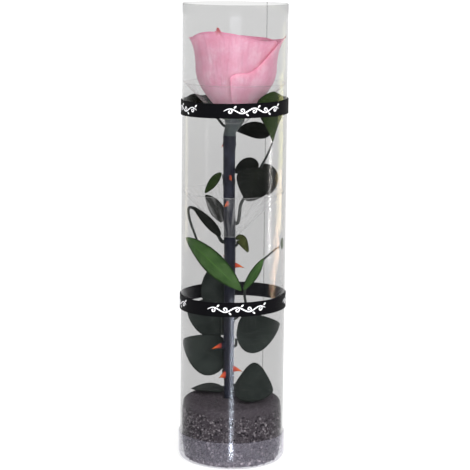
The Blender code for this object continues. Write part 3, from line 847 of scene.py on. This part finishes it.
PETAL = petal_finish()
for k in range(LAYERS):
    if k < len(OUTER_PETALS):
        shape = OUTER_PETALS[k]
    else:
        shape = (OUTER_PETALS[-1][0] + GOLDEN_ANGLE * (k - len(OUTER_PETALS) + 1),
                 INNER_WIDTH + INNER_WIDENING * k, INNER_TIP - INNER_DROP * k, INNER_FALL, INNER_FALL,
                 0.0, ())
    petal_grid = petal_points(INNERMOST * k / (LAYERS - 1.0), *shape, seed=PETAL_SEED + k)
    petal = blade(f"rose_petal_{k + 1:02d}", petal_grid, PETAL_THICKNESS,
                  petal_marks(shape[-1], PETAL_ROWS, PETAL_COLUMNS))
    dress(petal, PETAL, "petal_pink", f"petal_{k + 1:02d}")

HEART_LAYERS = 9
HEART_ROWS, HEART_COLUMNS = 48, 41
HEART_BASE = FLOWER_BASE + 6.0
HEART_THICKNESS = 0.26 * MM


def heart_points(step):
    """A small petal of the heart: it wraps far round, and closes inwards at its lip."""
    along, across = along_and_across(HEART_ROWS, HEART_COLUMNS)
    layer = 0.835 + 0.15 * step / (HEART_LAYERS - 1.0)
    margin = 282.6 - 0.5 * step - 2.6 * across**2
    height = HEART_BASE + (margin - HEART_BASE) * along
    rise = np.minimum((height - FLOWER_BASE) / (FLOWER_TOP - FLOWER_BASE), 0.96)
    narrowest = 0.35 + 0.32 * (HEART_LAYERS - step) * 0.6
    radius = np.maximum(layer_radius(layer, rise) - 0.14 * across, narrowest)
    radius = radius + 0.35 * beyond(along, 0.93) ** 2
    spread = (70.0 + 6.0 * step) * np.clip(along * 1.6, 0.0, 1.0) * across
    return round_axis(radius, np.radians(20.0 + GOLDEN_ANGLE * step + spread), height) * MM


def gathered(name, blades):
    """Joins finished blades into one piece, keeping their UVs and marks."""
    bpy.ops.object.select_all(action="DESELECT")
    for piece in blades:
        piece.select_set(True)
    bpy.context.view_layer.objects.active = blades[0]
    bpy.ops.object.join()
    blades[0].name = name
    blades[0].data.name = name
    return blades[0]


heart_marks = petal_marks((), HEART_ROWS, HEART_COLUMNS)
heart = gathered("rolled_heart", [blade(f"heart_{step}", heart_points(step), HEART_THICKNESS, heart_marks)
                                  for step in range(HEART_LAYERS)])
dress(heart, PETAL, "petal_pink", "flower_heart")


# ------------------------------------------------------- leaf stalks, leaves
# Compound rose leaves, preserved and dyed: some fresh green, most nearly black.
# Each leaflet has a folded midrib, side veins and a toothed edge.
# each spray: its stalk's path and the stalk's girth at the stem and at the end, then for each
# leaflet its base, middle and tip, half width, the way it faces, curl, widest place and tone
SPRAYS = {
    "spray_a": (
        (((3.1, -0.8, 161.5), (4.6, -2.6, 172.5), (7.2, -3.4, 178.5), (12.0, -4.0, 188.0),
          (17.6, -6.0, 199.0), (21.0, -11.0, 206.0), (23.5, -15.2, 212.5), (24.6, -18.0, 216.2)), 1.0, 0.6),
        (((24.9, -19.2, 217.4), (25.5, -20.5, 236.0), (25.2, -20.0, 250.0),
         14.6, (0.77, -0.64, 0.0), -3.0, 0.66, "deep"),
         ((15.0, -8.2, 199.0), (13.4, -9.5, 189.5), (8.6, -9.0, 176.8),
          12.0, (0.0, -1.0, 0.1), 1.4, 0.45, "dark"),
         ((19.0, -4.4, 200.6), (23.6, -1.5, 191.5), (22.5, 1.0, 179.5),
          5.6, (0.3, -1.0, 0.0), 0.8, 0.5, "dark"),
         ((16.0, -0.5, 198.0), (9.0, 1.0, 198.6), (0.6, 5.4, 193.4),
          5.4, (0.0, -1.0, 0.3), 0.5, 0.45, "dark"),
         ((23.0, -9.6, 220.6), (13.5, 0.5, 222.8), (1.6, 6.4, 221.4),
          5.4, (-0.3, -1.0, 0.1), 0.4, 0.42, "dark")),
    ),
    "spray_b": (
        (((-7.2, 2.4, 225.2), (-9.4, 5.0, 227.4), (-12.6, 8.6, 230.6), (-16.0, 12.0, 233.8)), 0.8, 0.6),
        (((-17.0, 12.9, 234.4), (-25.5, 15.0, 237.6), (-32.8, 4.5, 241.6),
         6.6, (-0.8, 0.6, 0.0), -0.9, 0.55, "dark"),),
    ),
    "spray_c": (
        (((-5.4, 5.6, 160.5), (-4.8, 6.2, 175.0), (-7.4, 6.6, 191.8)), 0.8, 0.6),
        (((-8.4, 6.8, 192.8), (-13.0, 9.6, 187.0), (-19.2, 11.5, 178.8),
         3.4, (-0.5, -0.8, 0.3), 0.5, 0.5, "deep"),
         ((-8.2, 4.4, 160.0), (-11.4, 6.2, 168.8), (-18.8, 5.4, 178.2),
          4.8, (-0.1, -1.0, 0.1), 0.8, 0.5, "dark")),
    ),
    "spray_d": (
        (((-7.8, -1.8, 148.6), (-10.4, -6.6, 153.6), (-15.6, -11.5, 161.0), (-22.0, -12.0, 168.0),
          (-27.6, -9.8, 172.2), (-29.8, -9.6, 170.2), (-28.2, -12.4, 162.5), (-25.2, -13.2, 154.5),
          (-23.0, -15.4, 148.6)), 1.0, 0.7),
        (((-31.0, -11.0, 152.0), (-12.8, -28.2, 138.0), (5.4, -29.0, 120.6),
         7.6, (-0.4, -0.92, 0.0), -0.9, 0.5, "green"),
         ((-8.6, -9.4, 153.4), (-15.4, -15.0, 162.2), (-26.5, -14.0, 173.2),
          3.1, (0.0, -1.0, 0.2), 0.6, 0.5, "dark")),
    ),
    "spray_e": (
        (((-6.6, 2.8, 85.0), (-7.0, 4.8, 91.0), (-7.2, 5.6, 98.4)), 0.8, 0.6),
        (((-6.6, 6.6, 100.0), (-11.8, 7.6, 112.6), (-14.4, 6.4, 129.0),
         9.6, (-0.1, -1.0, 0.1), 1.0, 0.45, "slate"),
         ((1.4, 9.8, 91.4), (-15.0, 13.4, 94.0), (-30.6, 10.0, 99.0),
          13.8, (0.0, -1.0, 0.15), 1.2, 0.45, "slate")),
    ),
    "spray_f": (
        (((2.6, -1.5, 96.5), (5.5, -4.5, 100.5), (8.7, -7.0, 106.0), (7.9, -9.0, 115.0),
          (11.2, -10.6, 125.0), (18.6, -12.6, 136.5), (23.2, -14.0, 141.5), (27.8, -14.5, 145.6),
          (30.2, -13.6, 147.0)), 0.9, 0.55),
        (((19.8, -15.6, 139.4), (13.4, -14.4, 128.4), (7.2, -12.0, 117.6),
         3.3, (0.4, -0.9, 0.1), 0.7, 0.5, "green"),
         ((31.3, -12.0, 148.0), (32.3, -8.4, 148.4), (32.9, -4.6, 145.0),
          3.8, (1.0, -0.25, 0.0), -0.2, 0.5, "green")),
    ),
    "spray_g": (
        (((2.4, -1.6, 146.0), (2.9, -2.6, 148.6)), 0.8, 0.7),
        (((3.5, -3.6, 149.8), (5.6, -6.4, 149.6), (9.9, -7.6, 142.2),
         3.5, (0.4, -0.9, 0.1), 0.6, 0.45, "olive"),),
    ),
    "spray_h": (
        (((-5.8, 3.4, 58.0), (-5.0, 5.4, 62.0)), 0.9, 0.8),
        (((-3.8, 7.4, 64.4), (-17.0, 9.0, 69.6), (-32.8, 5.2, 79.8),
         14.2, (0.0, -1.0, 0.1), 1.4, 0.42, "slate"),),
    ),
    "spray_i": (
        (((2.4, 1.2, 77.0), (2.5, 3.4, 80.6)), 0.9, 0.8),
        (((2.9, 4.8, 82.4), (15.4, 6.4, 85.0), (31.6, 4.8, 91.6),
         13.4, (0.0, -1.0, 0.1), 1.2, 0.4, "slate"),),
    ),
    "spray_j": (
        (((2.6, -1.6, 46.0), (2.6, -3.4, 49.0), (1.4, -4.6, 51.0)), 0.9, 0.8),
        (((2.6, -4.2, 52.4), (13.6, -8.5, 53.0), (27.6, -7.0, 47.6),
         16.6, (0.0, -0.6, 0.8), 0.4, 0.46, "slate"),
         ((-6.6, 4.6, 43.8), (-15.6, 8.8, 45.8), (-27.6, 11.4, 44.0),
          11.0, (0.0, 0.0, 1.0), -0.5, 0.5, "slate")),
    ),
}
LEAF_THICKNESS = 0.3 * MM
TEETH = 17
SIDE_VEINS = 8.0
VEIN_LEAN = 0.16
# how far below its first point a stalk leaves the stem's middle; spray_b grows just under the calyx
STALK_DROP = 2.4
CALYX_DROP = 0.4
STALK_SIDES = 14


def leaflet_points(base, middle, tip, half_width, face, curl, widest):
    """A leaflet's grid about the curve through base, middle and tip.

    The half width is a sine of the way along, with teeth that lean to the tip. The
    blade folds up from its midrib, and each side vein is a shallow trough.
    """
    base, middle, tip = (np.array(p) for p in (base, middle, tip))
    t, across = along_and_across(103, 33)
    bend = 2.0 * middle - 0.5 * (base + tip)
    line = (1.0 - t) ** 2 * base + 2.0 * t * (1.0 - t) * bend + t**2 * tip
    run = 2.0 * (1.0 - t) * (bend - base) + 2.0 * t * (tip - bend)
    side = np.cross(run, np.array(face))
    side /= np.linalg.norm(side, axis=1, keepdims=True)
    normal = np.cross(side, run)
    normal /= np.linalg.norm(normal, axis=1, keepdims=True)
    swell = np.sin(np.pi * t ** (np.log(0.5) / np.log(widest))) ** 0.7
    teeth = 1.0 + 0.035 * ((t * TEETH) % 1.0) * (t > 0.08) * (t < 0.97)
    half = (0.3 + (half_width - 0.3) * swell) * teeth
    fold = 0.05 * half_width * (np.abs(across) - 0.3)
    vein = np.cos(FULL_TURN * SIDE_VEINS * (t - VEIN_LEAN * np.abs(across)))
    lift = curl * (half / half_width) * across**2 + fold * half / half_width
    lift = lift + 0.012 * half_width * vein * np.abs(across) * (1.0 - across**2)
    lift = lift + 0.02 * half_width * np.sin(9.0 * t + 2.0 * across) * across**2
    reach = (across * half)[..., None]
    return (line[:, None] + side[:, None] * reach + normal[:, None] * lift[..., None]) * MM


def leaf_finish(name, upper, under, vein_tone, edge_shade_tone, edge_shade_start, roughness):
    """A waxy leaf: upper and under side tones, a pale midrib and side veins, fine cells, and painted shade
    that darkens it towards its edge.

    How far a place is from the midrib runs from 0 there to 0.5 at the leaf's edge.
    """
    paint, tree, shader, _ = paint_named(name)
    mottle = mottled(tree, 110.0, 1200.0, 0.4)
    tone, below = (ramp_of(tree, mottle, *zip((0.3, 0.5, 0.72), tones)) for tones in (upper, under))
    tone = blended(tree, marked(tree, "under"), tone, below)
    place = along_place(tree)
    across, along = (placed(tree, "ShaderNodeSeparateXYZ", way, {"Vector": place}) for way in "XY")
    off = worked_out(tree, "ABSOLUTE", worked_out(tree, "SUBTRACT", across, 0.5))
    lean = worked_out(tree, "MULTIPLY_ADD", off, -2.0 * VEIN_LEAN, along)
    wave = worked_out(tree, "COSINE", worked_out(tree, "MULTIPLY", lean, FULL_TURN * SIDE_VEINS))
    veins = worked_out(tree, "MAXIMUM", spanned(tree, wave, 0.93, 1.0, 0.0, 0.3),
                       spanned(tree, off, 0.03, 0.012, 0.0, 0.8))
    tone = blended(tree, veins, tone, vein_tone)
    # Painted shade: the leaf darkens towards its edge, to the edge tone given for it.
    tone = blended(tree, spanned(tree, off, edge_shade_start, 0.5), tone, edge_shade_tone)
    skin = bumped(tree, cells_at(tree, object_place(tree), 1500.0), 0.00012)
    fed(tree, shader, {"Base Color": tone, "Roughness": roughness, "Specular IOR Level": 0.12,
                       "Normal": bumped(tree, veins, 0.0003, 0.4, Normal=skin)})
    return paint


SLATE_TONES = ((0.012, 0.015, 0.014), (0.022, 0.027, 0.025), (0.034, 0.041, 0.037))
# In each leaf paint the fourth colour and the number after it are the painted shade at the leaf's edge and
# where that shade starts.
LEAF_PAINTS = {
    "green": leaf_finish(
        "green_leaf", ((0.008, 0.042, 0.003), (0.020, 0.090, 0.006), (0.052, 0.165, 0.014)),
        ((0.02, 0.05, 0.015), (0.04, 0.085, 0.025), (0.07, 0.13, 0.045)),
        (0.06, 0.15, 0.03), (0.003, 0.010, 0.002), 0.36, 0.40),
    "deep": leaf_finish(
        "deep_green_leaf", ((0.004, 0.012, 0.002), (0.011, 0.030, 0.005), (0.040, 0.075, 0.012)),
        ((0.008, 0.018, 0.005), (0.02, 0.036, 0.010), (0.04, 0.06, 0.02)),
        (0.03, 0.05, 0.012), (0.003, 0.006, 0.002), 0.38, 0.40),
    "dark": leaf_finish(
        "dark_leaf", ((0.0015, 0.002, 0.001), (0.004, 0.005, 0.003), (0.013, 0.014, 0.009)),
        ((0.003, 0.0035, 0.003), (0.006, 0.007, 0.006), (0.014, 0.016, 0.013)),
        (0.008, 0.009, 0.006), (0.0015, 0.0015, 0.0015), 0.44, 0.45),
    "slate": leaf_finish("slate_leaf", SLATE_TONES, SLATE_TONES, (0.026, 0.032, 0.029),
                         (0.008, 0.010, 0.009), 0.46, 0.50),
    "olive": leaf_finish(
        "olive_leaf", ((0.010, 0.014, 0.003), (0.035, 0.045, 0.008), (0.10, 0.11, 0.02)),
        ((0.012, 0.016, 0.005), (0.03, 0.036, 0.012), (0.07, 0.08, 0.03)),
        (0.07, 0.08, 0.02), (0.005, 0.006, 0.002), 0.38, 0.45),
}
STALK_SKIN = skin_finish("stalk_skin", (0.008, 0.010, 0.010), (0.018, 0.022, 0.020), (0.04, 0.045, 0.035),
                         0.5, 0.0)

for name, ((path, thick, thin), leaflets) in SPRAYS.items():
    first = np.array(path[0])
    drop = CALYX_DROP if name == "spray_b" else STALK_DROP
    stem_middle = np.array([stem_at(first[2])[0], 0.0, first[2] - drop])
    joint = stem_middle + (first - stem_middle) * 0.45
    stalk_line = smooth_through((joint, *path), 24 * len(path) + 24) * MM
    stalk_girth = np.linspace(1.25 * thick, thin, len(stalk_line)) * MM
    stalk = joined(f"{name}_leafstalk", [swept(stalk_line, stalk_girth, STALK_SIDES)], {})
    dress(stalk, STALK_SKIN, "stem_bark", f"{name}_stalk")
    for k, (*form, tone) in enumerate(leaflets):
        leaflet = blade(f"{name}_leaf_{k + 1}", leaflet_points(*form), LEAF_THICKNESS)
        dress(leaflet, LEAF_PAINTS[tone], "leaf_green", f"{name}_leaflet_{k + 1}")


# ------------------------------------------------------------- film funnels
# Two funnels rolled from flat film. The upper one cups the flower and the middle
# one keeps the stem central. Each is one sheet whose ends lap over each other.
FUNNEL_FILM = 0.3 * MM
FUNNEL_LAP = 26.0
# the radius of the hole, how far the neck stands off to the side, and where the lap is
FUNNELS = {"upper_cone": (7.4, 0.0, 200.0), "middle_cone": (5.0, -2.4, 118.0)}


def funnel_points(low, high, hole, lean, seam):
    """A rolled cone: the radius grows evenly with height, and the last turn lifts over the first.

    lean is how far the neck sits to one side of the rim.
    """
    rise = np.linspace(0.0, 1.0, 26)[:, None]
    turn = np.linspace(0.0, 360.0 + FUNNEL_LAP, 230)[None, :]
    over = np.clip((turn - 340.0) / 20.0, 0.0, 1.0)
    radius = hole * MM + (high[0] - 0.75 * MM - hole * MM) * rise
    radius = radius + (FUNNEL_FILM + 0.08 * MM) * eased(over)
    radius = radius + 0.10 * MM * np.sin(np.radians(turn * 3.0)) * rise * (1.0 - over)
    points = round_axis(radius, np.radians(turn + seam), low[2] + (high[2] - low[2]) * rise)
    points[..., 0] += lean * MM * (1.0 - rise)
    return points


FUNNEL_SHEETS = {
    "upper_cone": clear_sheet("smooth_funnel_film", 0.992, 0.004, (0.92, 0.92, 0.92), 0.0, 0.4, 0.03),
    # The streaks on both funnels, strongest on the middle one, are painted reflection.
    "middle_cone": clear_sheet("reflection_streaked_funnel_film", 0.988, 0.006, (0.90, 0.90, 0.90), 0.0, 0.5, 0.16),
}
for name, (hole, lean, seam) in FUNNELS.items():
    low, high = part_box(name)
    funnel = blade(f"rolled_{name}", funnel_points(low, high, hole, lean, seam), FUNNEL_FILM)
    dress(funnel, FUNNEL_SHEETS[name], "clear_film", name)


# --------------------------------------------------------------- clear tube
# The wrapper itself: one sheet of clear film rolled into a tube, its long edges
# glued in a narrow lap at the back, and its mouth cut square and left open.
tube_low, tube_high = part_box("clear_tube")
TUBE_FILM = 0.3 * MM
TUBE_LAP = 1.6
TUBE_SEAM = 142.0


def tube_points():
    """A rolled sheet: constant radius, rising over its own start in the last 18 degrees."""
    height = np.linspace(tube_low[2], tube_high[2], 40)[:, None]
    turn = np.linspace(0.0, 360.0 + TUBE_LAP, 300)[None, :]
    over = np.clip((turn - 342.0) / 18.0, 0.0, 1.0)
    radius = tube_high[0] - 0.42 * MM + (TUBE_FILM + 0.05 * MM) * eased(over)
    return round_axis(radius, np.radians(turn + TUBE_SEAM), height)


TUBE_SHEET = clear_sheet("tube_film", 0.838, 0.0006, (0.96, 0.96, 0.97), 1.0, 0.5)
tube = blade("rolled_tube", tube_points(), TUBE_FILM)
dress(tube, TUBE_SHEET, "clear_film", "clear_tube")


# ------------------------------------------------------------ ribbon bands
# Two bands of black satin ribbon, drawn round the tube and glued on themselves at
# the back. A white scroll of vine curls is printed along them in raised ink.
RIBBON_THICKNESS = 0.22 * MM
RIBBON_TILT = 0.021
RIBBON_LAP = 24.0
SCROLL_LENGTH = 40.0 * MM
SCROLL_STEP = 60.0 * MM
SCROLL_REPEATS = range(-2, 2)
BAND_OFF_TUBE = 0.32 * MM
INK = 0.05 * MM
SCROLL_START = {"upper_ribbon": -7.0 * MM, "lower_ribbon": -17.0 * MM}


def tilted(points):
    """Points raised in step with their place towards +X, as the band stands."""
    points[..., 2] += points[..., 0] * RIBBON_TILT
    return points


def ribbon_points(low, high, radius):
    """The band: level rows round the tube, raised towards +X, its last turn over its first."""
    tilt = (high[0] + RIBBON_THICKNESS) * RIBBON_TILT
    rise = np.linspace(0.0, 1.0, 21)[:, None]
    turn = np.linspace(0.0, 360.0 + RIBBON_LAP, 260)[None, :]
    over = np.clip((turn - 345.0) / 15.0, 0.0, 1.0)
    reach = radius + (RIBBON_THICKNESS + 0.02 * MM) * eased(over)
    reach = reach + 0.05 * MM * np.abs(2.0 * rise - 1.0) ** 12
    height = low[2] + tilt + (high[2] - low[2] - 2.0 * tilt) * rise
    return tilted(round_axis(reach, np.radians(turn + 180.0 - RIBBON_LAP / 2.0), height))


def curl_line(start, size, turns, way, bend):
    """A vine curl: a spiral whose radius shrinks evenly from size, from start outwards."""
    t = np.linspace(0.0, 1.0, 60)
    radius = size * (1.0 - 0.88 * t)
    angle = bend + way * FULL_TURN * turns * t
    middle = start - size * np.array([np.cos(bend), np.sin(bend)])
    return middle + radius[:, None] * np.stack([np.cos(angle), np.sin(angle)], axis=1)


def scroll_strokes():
    """One repeat of the printed vine: a waving stalk, paired curls and drop-shaped buds."""
    t = np.linspace(0.0, 1.0, 160)
    wave = 1.5 * MM * np.sin(FULL_TURN * 2.5 * t)
    strokes = [(np.stack([t * SCROLL_LENGTH, wave], axis=1), 0.72 * MM)]
    for k in range(5):
        x = (0.1 + 0.2 * k) * SCROLL_LENGTH
        way = 1.0 if k % 2 == 0 else -1.0
        root = np.array([x, 1.5 * MM * way])
        strokes.append((curl_line(root, 1.7 * MM, 1.15, -way, way * np.pi / 2.0), 0.62 * MM))
        bud = np.stack([x + 2.6 * MM + 1.5 * MM * t, way * (1.9 * MM + 1.3 * MM * t)], axis=1)
        strokes.append((bud, 0.9 * MM))
    return strokes


def printed_stroke(line, width, radius, middle_height, begin):
    """A flat ink stroke laid on the band: the width swells and thins along the line."""
    run = np.gradient(line, axis=0)
    run /= np.maximum(np.linalg.norm(run, axis=1, keepdims=True), 1e-12)
    side = np.stack([-run[:, 1], run[:, 0]], axis=1)
    t, across = along_and_across(len(line), 4)
    half = 0.5 * width * (0.35 + 0.75 * np.sin(np.pi * t) ** 0.6)
    flat = line[:, None] + side[:, None] * (half * across)[..., None]
    return tilted(round_axis(radius, (begin + flat[..., 0]) / radius, middle_height + flat[..., 1]))


def satin_finish():
    """Black satin: long floats across a fine rib, deep black outside and duller on its back."""
    paint, tree, shader, _ = paint_named("black_satin")
    place = along_place(tree)
    floats = noise_at(tree, stretched(tree, place, (900.0, 14.0, 1.0)), 1.0)
    ribs = placed(tree, "ShaderNodeTexWave", "Fac", {"Vector": place, "Scale": 12.0}, bands_direction="Y")
    dark = ramp_of(tree, floats, (0.3, (0.0005, 0.0005, 0.0008)), (0.7, (0.004, 0.004, 0.005)))
    dull = ramp_of(tree, floats, (0.3, (0.018, 0.018, 0.022)), (0.7, (0.045, 0.044, 0.052)))
    fed(tree, shader, {"Base Color": blended(tree, marked(tree, "under"), dull, dark), "Roughness": 0.5,
                       "Specular IOR Level": 0.03, "Normal": bumped(tree, ribs, 0.00006, 0.4)})
    return paint


SATIN = satin_finish()
WHITE_INK = plain_finish("white_ink", (0.88, 0.88, 0.90), (0.72, 0.72, 0.75), 900.0, 0.5, 0.00003, 0.3)
band_radius = tube_high[0] + BAND_OFF_TUBE
ink_radius = band_radius + RIBBON_THICKNESS / 2.0 + INK / 2.0
for name, begin in SCROLL_START.items():
    low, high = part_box(name)
    band = blade(f"satin_{name}", ribbon_points(low, high, band_radius), RIBBON_THICKNESS)
    dress(band, SATIN, "ribbon_satin", name)
    prints = [blade("ink", printed_stroke(stroke, width, ink_radius, (low[2] + high[2]) / 2.0,
                                          begin + k * SCROLL_STEP), INK)
              for k in SCROLL_REPEATS for stroke, width in scroll_strokes()]
    dress(gathered(f"printed_scroll_{name}", prints), WHITE_INK, "ribbon_satin")


# ------------------------------------------------- floor, camera and lights
# A studio floor that glows as painted light, more faintly near the middle than far out,
# one big soft light, an even sky, and tall narrow lamps that only show as streaks on the film.
FLOOR_REACH = 16.0
CAMERA_DISTANCE = 1.1833
CAMERA_HEIGHT = 0.3561
CAMERA_PITCH = 9.77
CAMERA_ROLL = 0.58
CAMERA_LENS = 138.2
AXIS_OFFSET = 1.1 * MM
TUBE_WALL = 0.035
LAMP_AWAY = 0.080
FRONT_STREAK = (-0.0004, -0.062)
SKY_GLOW = 0.62
WHITE = (1.0, 1.0, 1.0, 1.0)

floor_corners = FLOOR_REACH * np.array([[-1, -1, 0], [1, -1, 0], [1, 1, 0], [-1, 1, 0]])
floor = mesh_of("studio_floor", floor_corners, np.array([[0, 1, 2, 3]]))
floor_paint, floor_tree, floor_shader, _ = paint_named("glowing_floor")
floor_distance = placed(floor_tree, "ShaderNodeVectorMath", "Value", {0: object_place(floor_tree)},
                        operation="LENGTH")
# Painted light: the grey floor glows, less near the middle and more far out, so that the far floor looks
# white.
fed(floor_tree, floor_shader, {
    "Base Color": (0.45, 0.45, 0.45, 1.0), "Roughness": 0.9, "Specular IOR Level": 0.1,
    "Emission Color": WHITE, "Emission Strength": spanned(
        floor_tree, floor_distance, 0.5, 3.5, 0.65, 0.97, interpolation_type="SMOOTHSTEP")})
floor.data.materials.append(floor_paint)

world = bpy.data.worlds.new("studio_sky")
scene.world = world
world.use_nodes = True
fed(world.node_tree, world.node_tree.nodes["Background"], {"Color": WHITE, "Strength": SKY_GLOW})

film_pieces = bpy.data.collections.new("film_pieces")
for piece in (tube, cap):
    film_pieces.objects.link(piece)


def lamp(name, place, target, size, glow, colour, streak, roll=0.0):
    """A rectangular lamp aimed at a point; its power is its glow times its area times pi.

    A streak lamp lights the film only, and shows there as a tall reflection.
    """
    data = bpy.data.lights.new(name, "AREA")
    data.shape = "RECTANGLE"
    data.size, data.size_y = size
    data.energy = glow * np.pi * size[0] * size[1]
    data.color = colour
    made = bpy.data.objects.new(name, data)
    scene.collection.objects.link(made)
    made.location = place
    aim = (Vector(target) - Vector(place)).to_track_quat("-Z", "Y")
    made.rotation_mode = "QUATERNION"
    made.rotation_quaternion = aim @ Matrix.Rotation(np.radians(roll), 3, "Z").to_quaternion()
    made.visible_camera = False
    made.visible_diffuse = not streak
    made.visible_glossy = streak
    if streak:
        made.light_linking.receiver_collection = film_pieces
    return made


def mirrored_place(height, bearing, away):
    """Where a lamp stands to be seen in the tube's wall at a height and a bearing in degrees.

    The sight line runs back from the camera and turns at the wall by twice the bearing.
    """
    side, turned_to = np.radians(bearing), np.radians(2.0 * bearing - 90.0)
    return (TUBE_WALL * np.sin(side) + away * np.cos(turned_to),
            -TUBE_WALL * np.cos(side) + away * np.sin(turned_to),
            height - away * np.tan(np.radians(CAMERA_PITCH)))


lamp("big_soft_light", (0.30, -1.6, 0.70), (0.0, 0.0, 0.16), (1.3, 1.3), 11.8, WHITE[:3], False)
for name, height, bearing, size, glow, colour, roll in (
        ("warm_top_streak", 0.285, 64.8, (0.030, 0.036), 1.5, (1.0, 0.97, 0.45), 14.0),
        ("warm_high_streak", 0.235, 60.8, (0.034, 0.066), 5.5, (1.0, 0.97, 0.30), 6.0),
        ("warm_middle_streak", 0.180, 59.0, (0.040, 0.044), 12.0, (1.0, 0.80, 0.48), 0.0),
        ("warm_low_streak", 0.145, 55.0, (0.034, 0.030), 20.0, (1.0, 0.68, 0.45), 31.0),
        ("warm_foot_streak", 0.122, 48.8, (0.030, 0.020), 38.0, (1.0, 0.66, 0.42), 35.0),
        ("white_right_streak", 0.180, 43.2, (0.011, 0.085), 190.0, (1.0, 0.96, 0.94), 0.0),
        ("warm_left_streak", 0.194, -64.0, (0.022, 0.10), 2.8, (1.0, 0.90, 0.60), 0.0)):
    place = mirrored_place(height, bearing, LAMP_AWAY)
    lamp(name, place, (0.0, 0.0, place[2]), size, glow, colour, True, roll)
for name, height, size, glow in (
        ("front_low_streak", 0.055, (0.006, 0.11), 300.0),
        ("front_foot_streak", 0.014, (0.006, 0.060), 190.0)):
    lamp(name, (*FRONT_STREAK, height), (FRONT_STREAK[0], 0.0, height), size, glow, (0.78, 0.85, 1.0), True)
lamp("front_high_streak", (0.02, -1.5, 0.24), (0.0, 0.0, 0.26), (0.60, 0.26), 95.0, (0.90, 0.93, 1.0), True)

camera_data = bpy.data.cameras.new("portrait_camera")
camera = bpy.data.objects.new("portrait_camera", camera_data)
scene.collection.objects.link(camera)
scene.camera = camera
camera_data.sensor_width = 36.0
camera_data.lens = CAMERA_LENS
camera.location = (AXIS_OFFSET, -CAMERA_DISTANCE, CAMERA_HEIGHT)
sight = Vector((0.0, np.cos(np.radians(CAMERA_PITCH)), -np.sin(np.radians(CAMERA_PITCH))))
lean = Matrix.Rotation(np.radians(CAMERA_ROLL), 3, "Z").to_quaternion()
camera.rotation_mode = "QUATERNION"
camera.rotation_quaternion = sight.to_track_quat("-Z", "Y") @ lean

scene.view_settings.view_transform = "Standard"
scene.cycles.transparent_max_bounces = 48
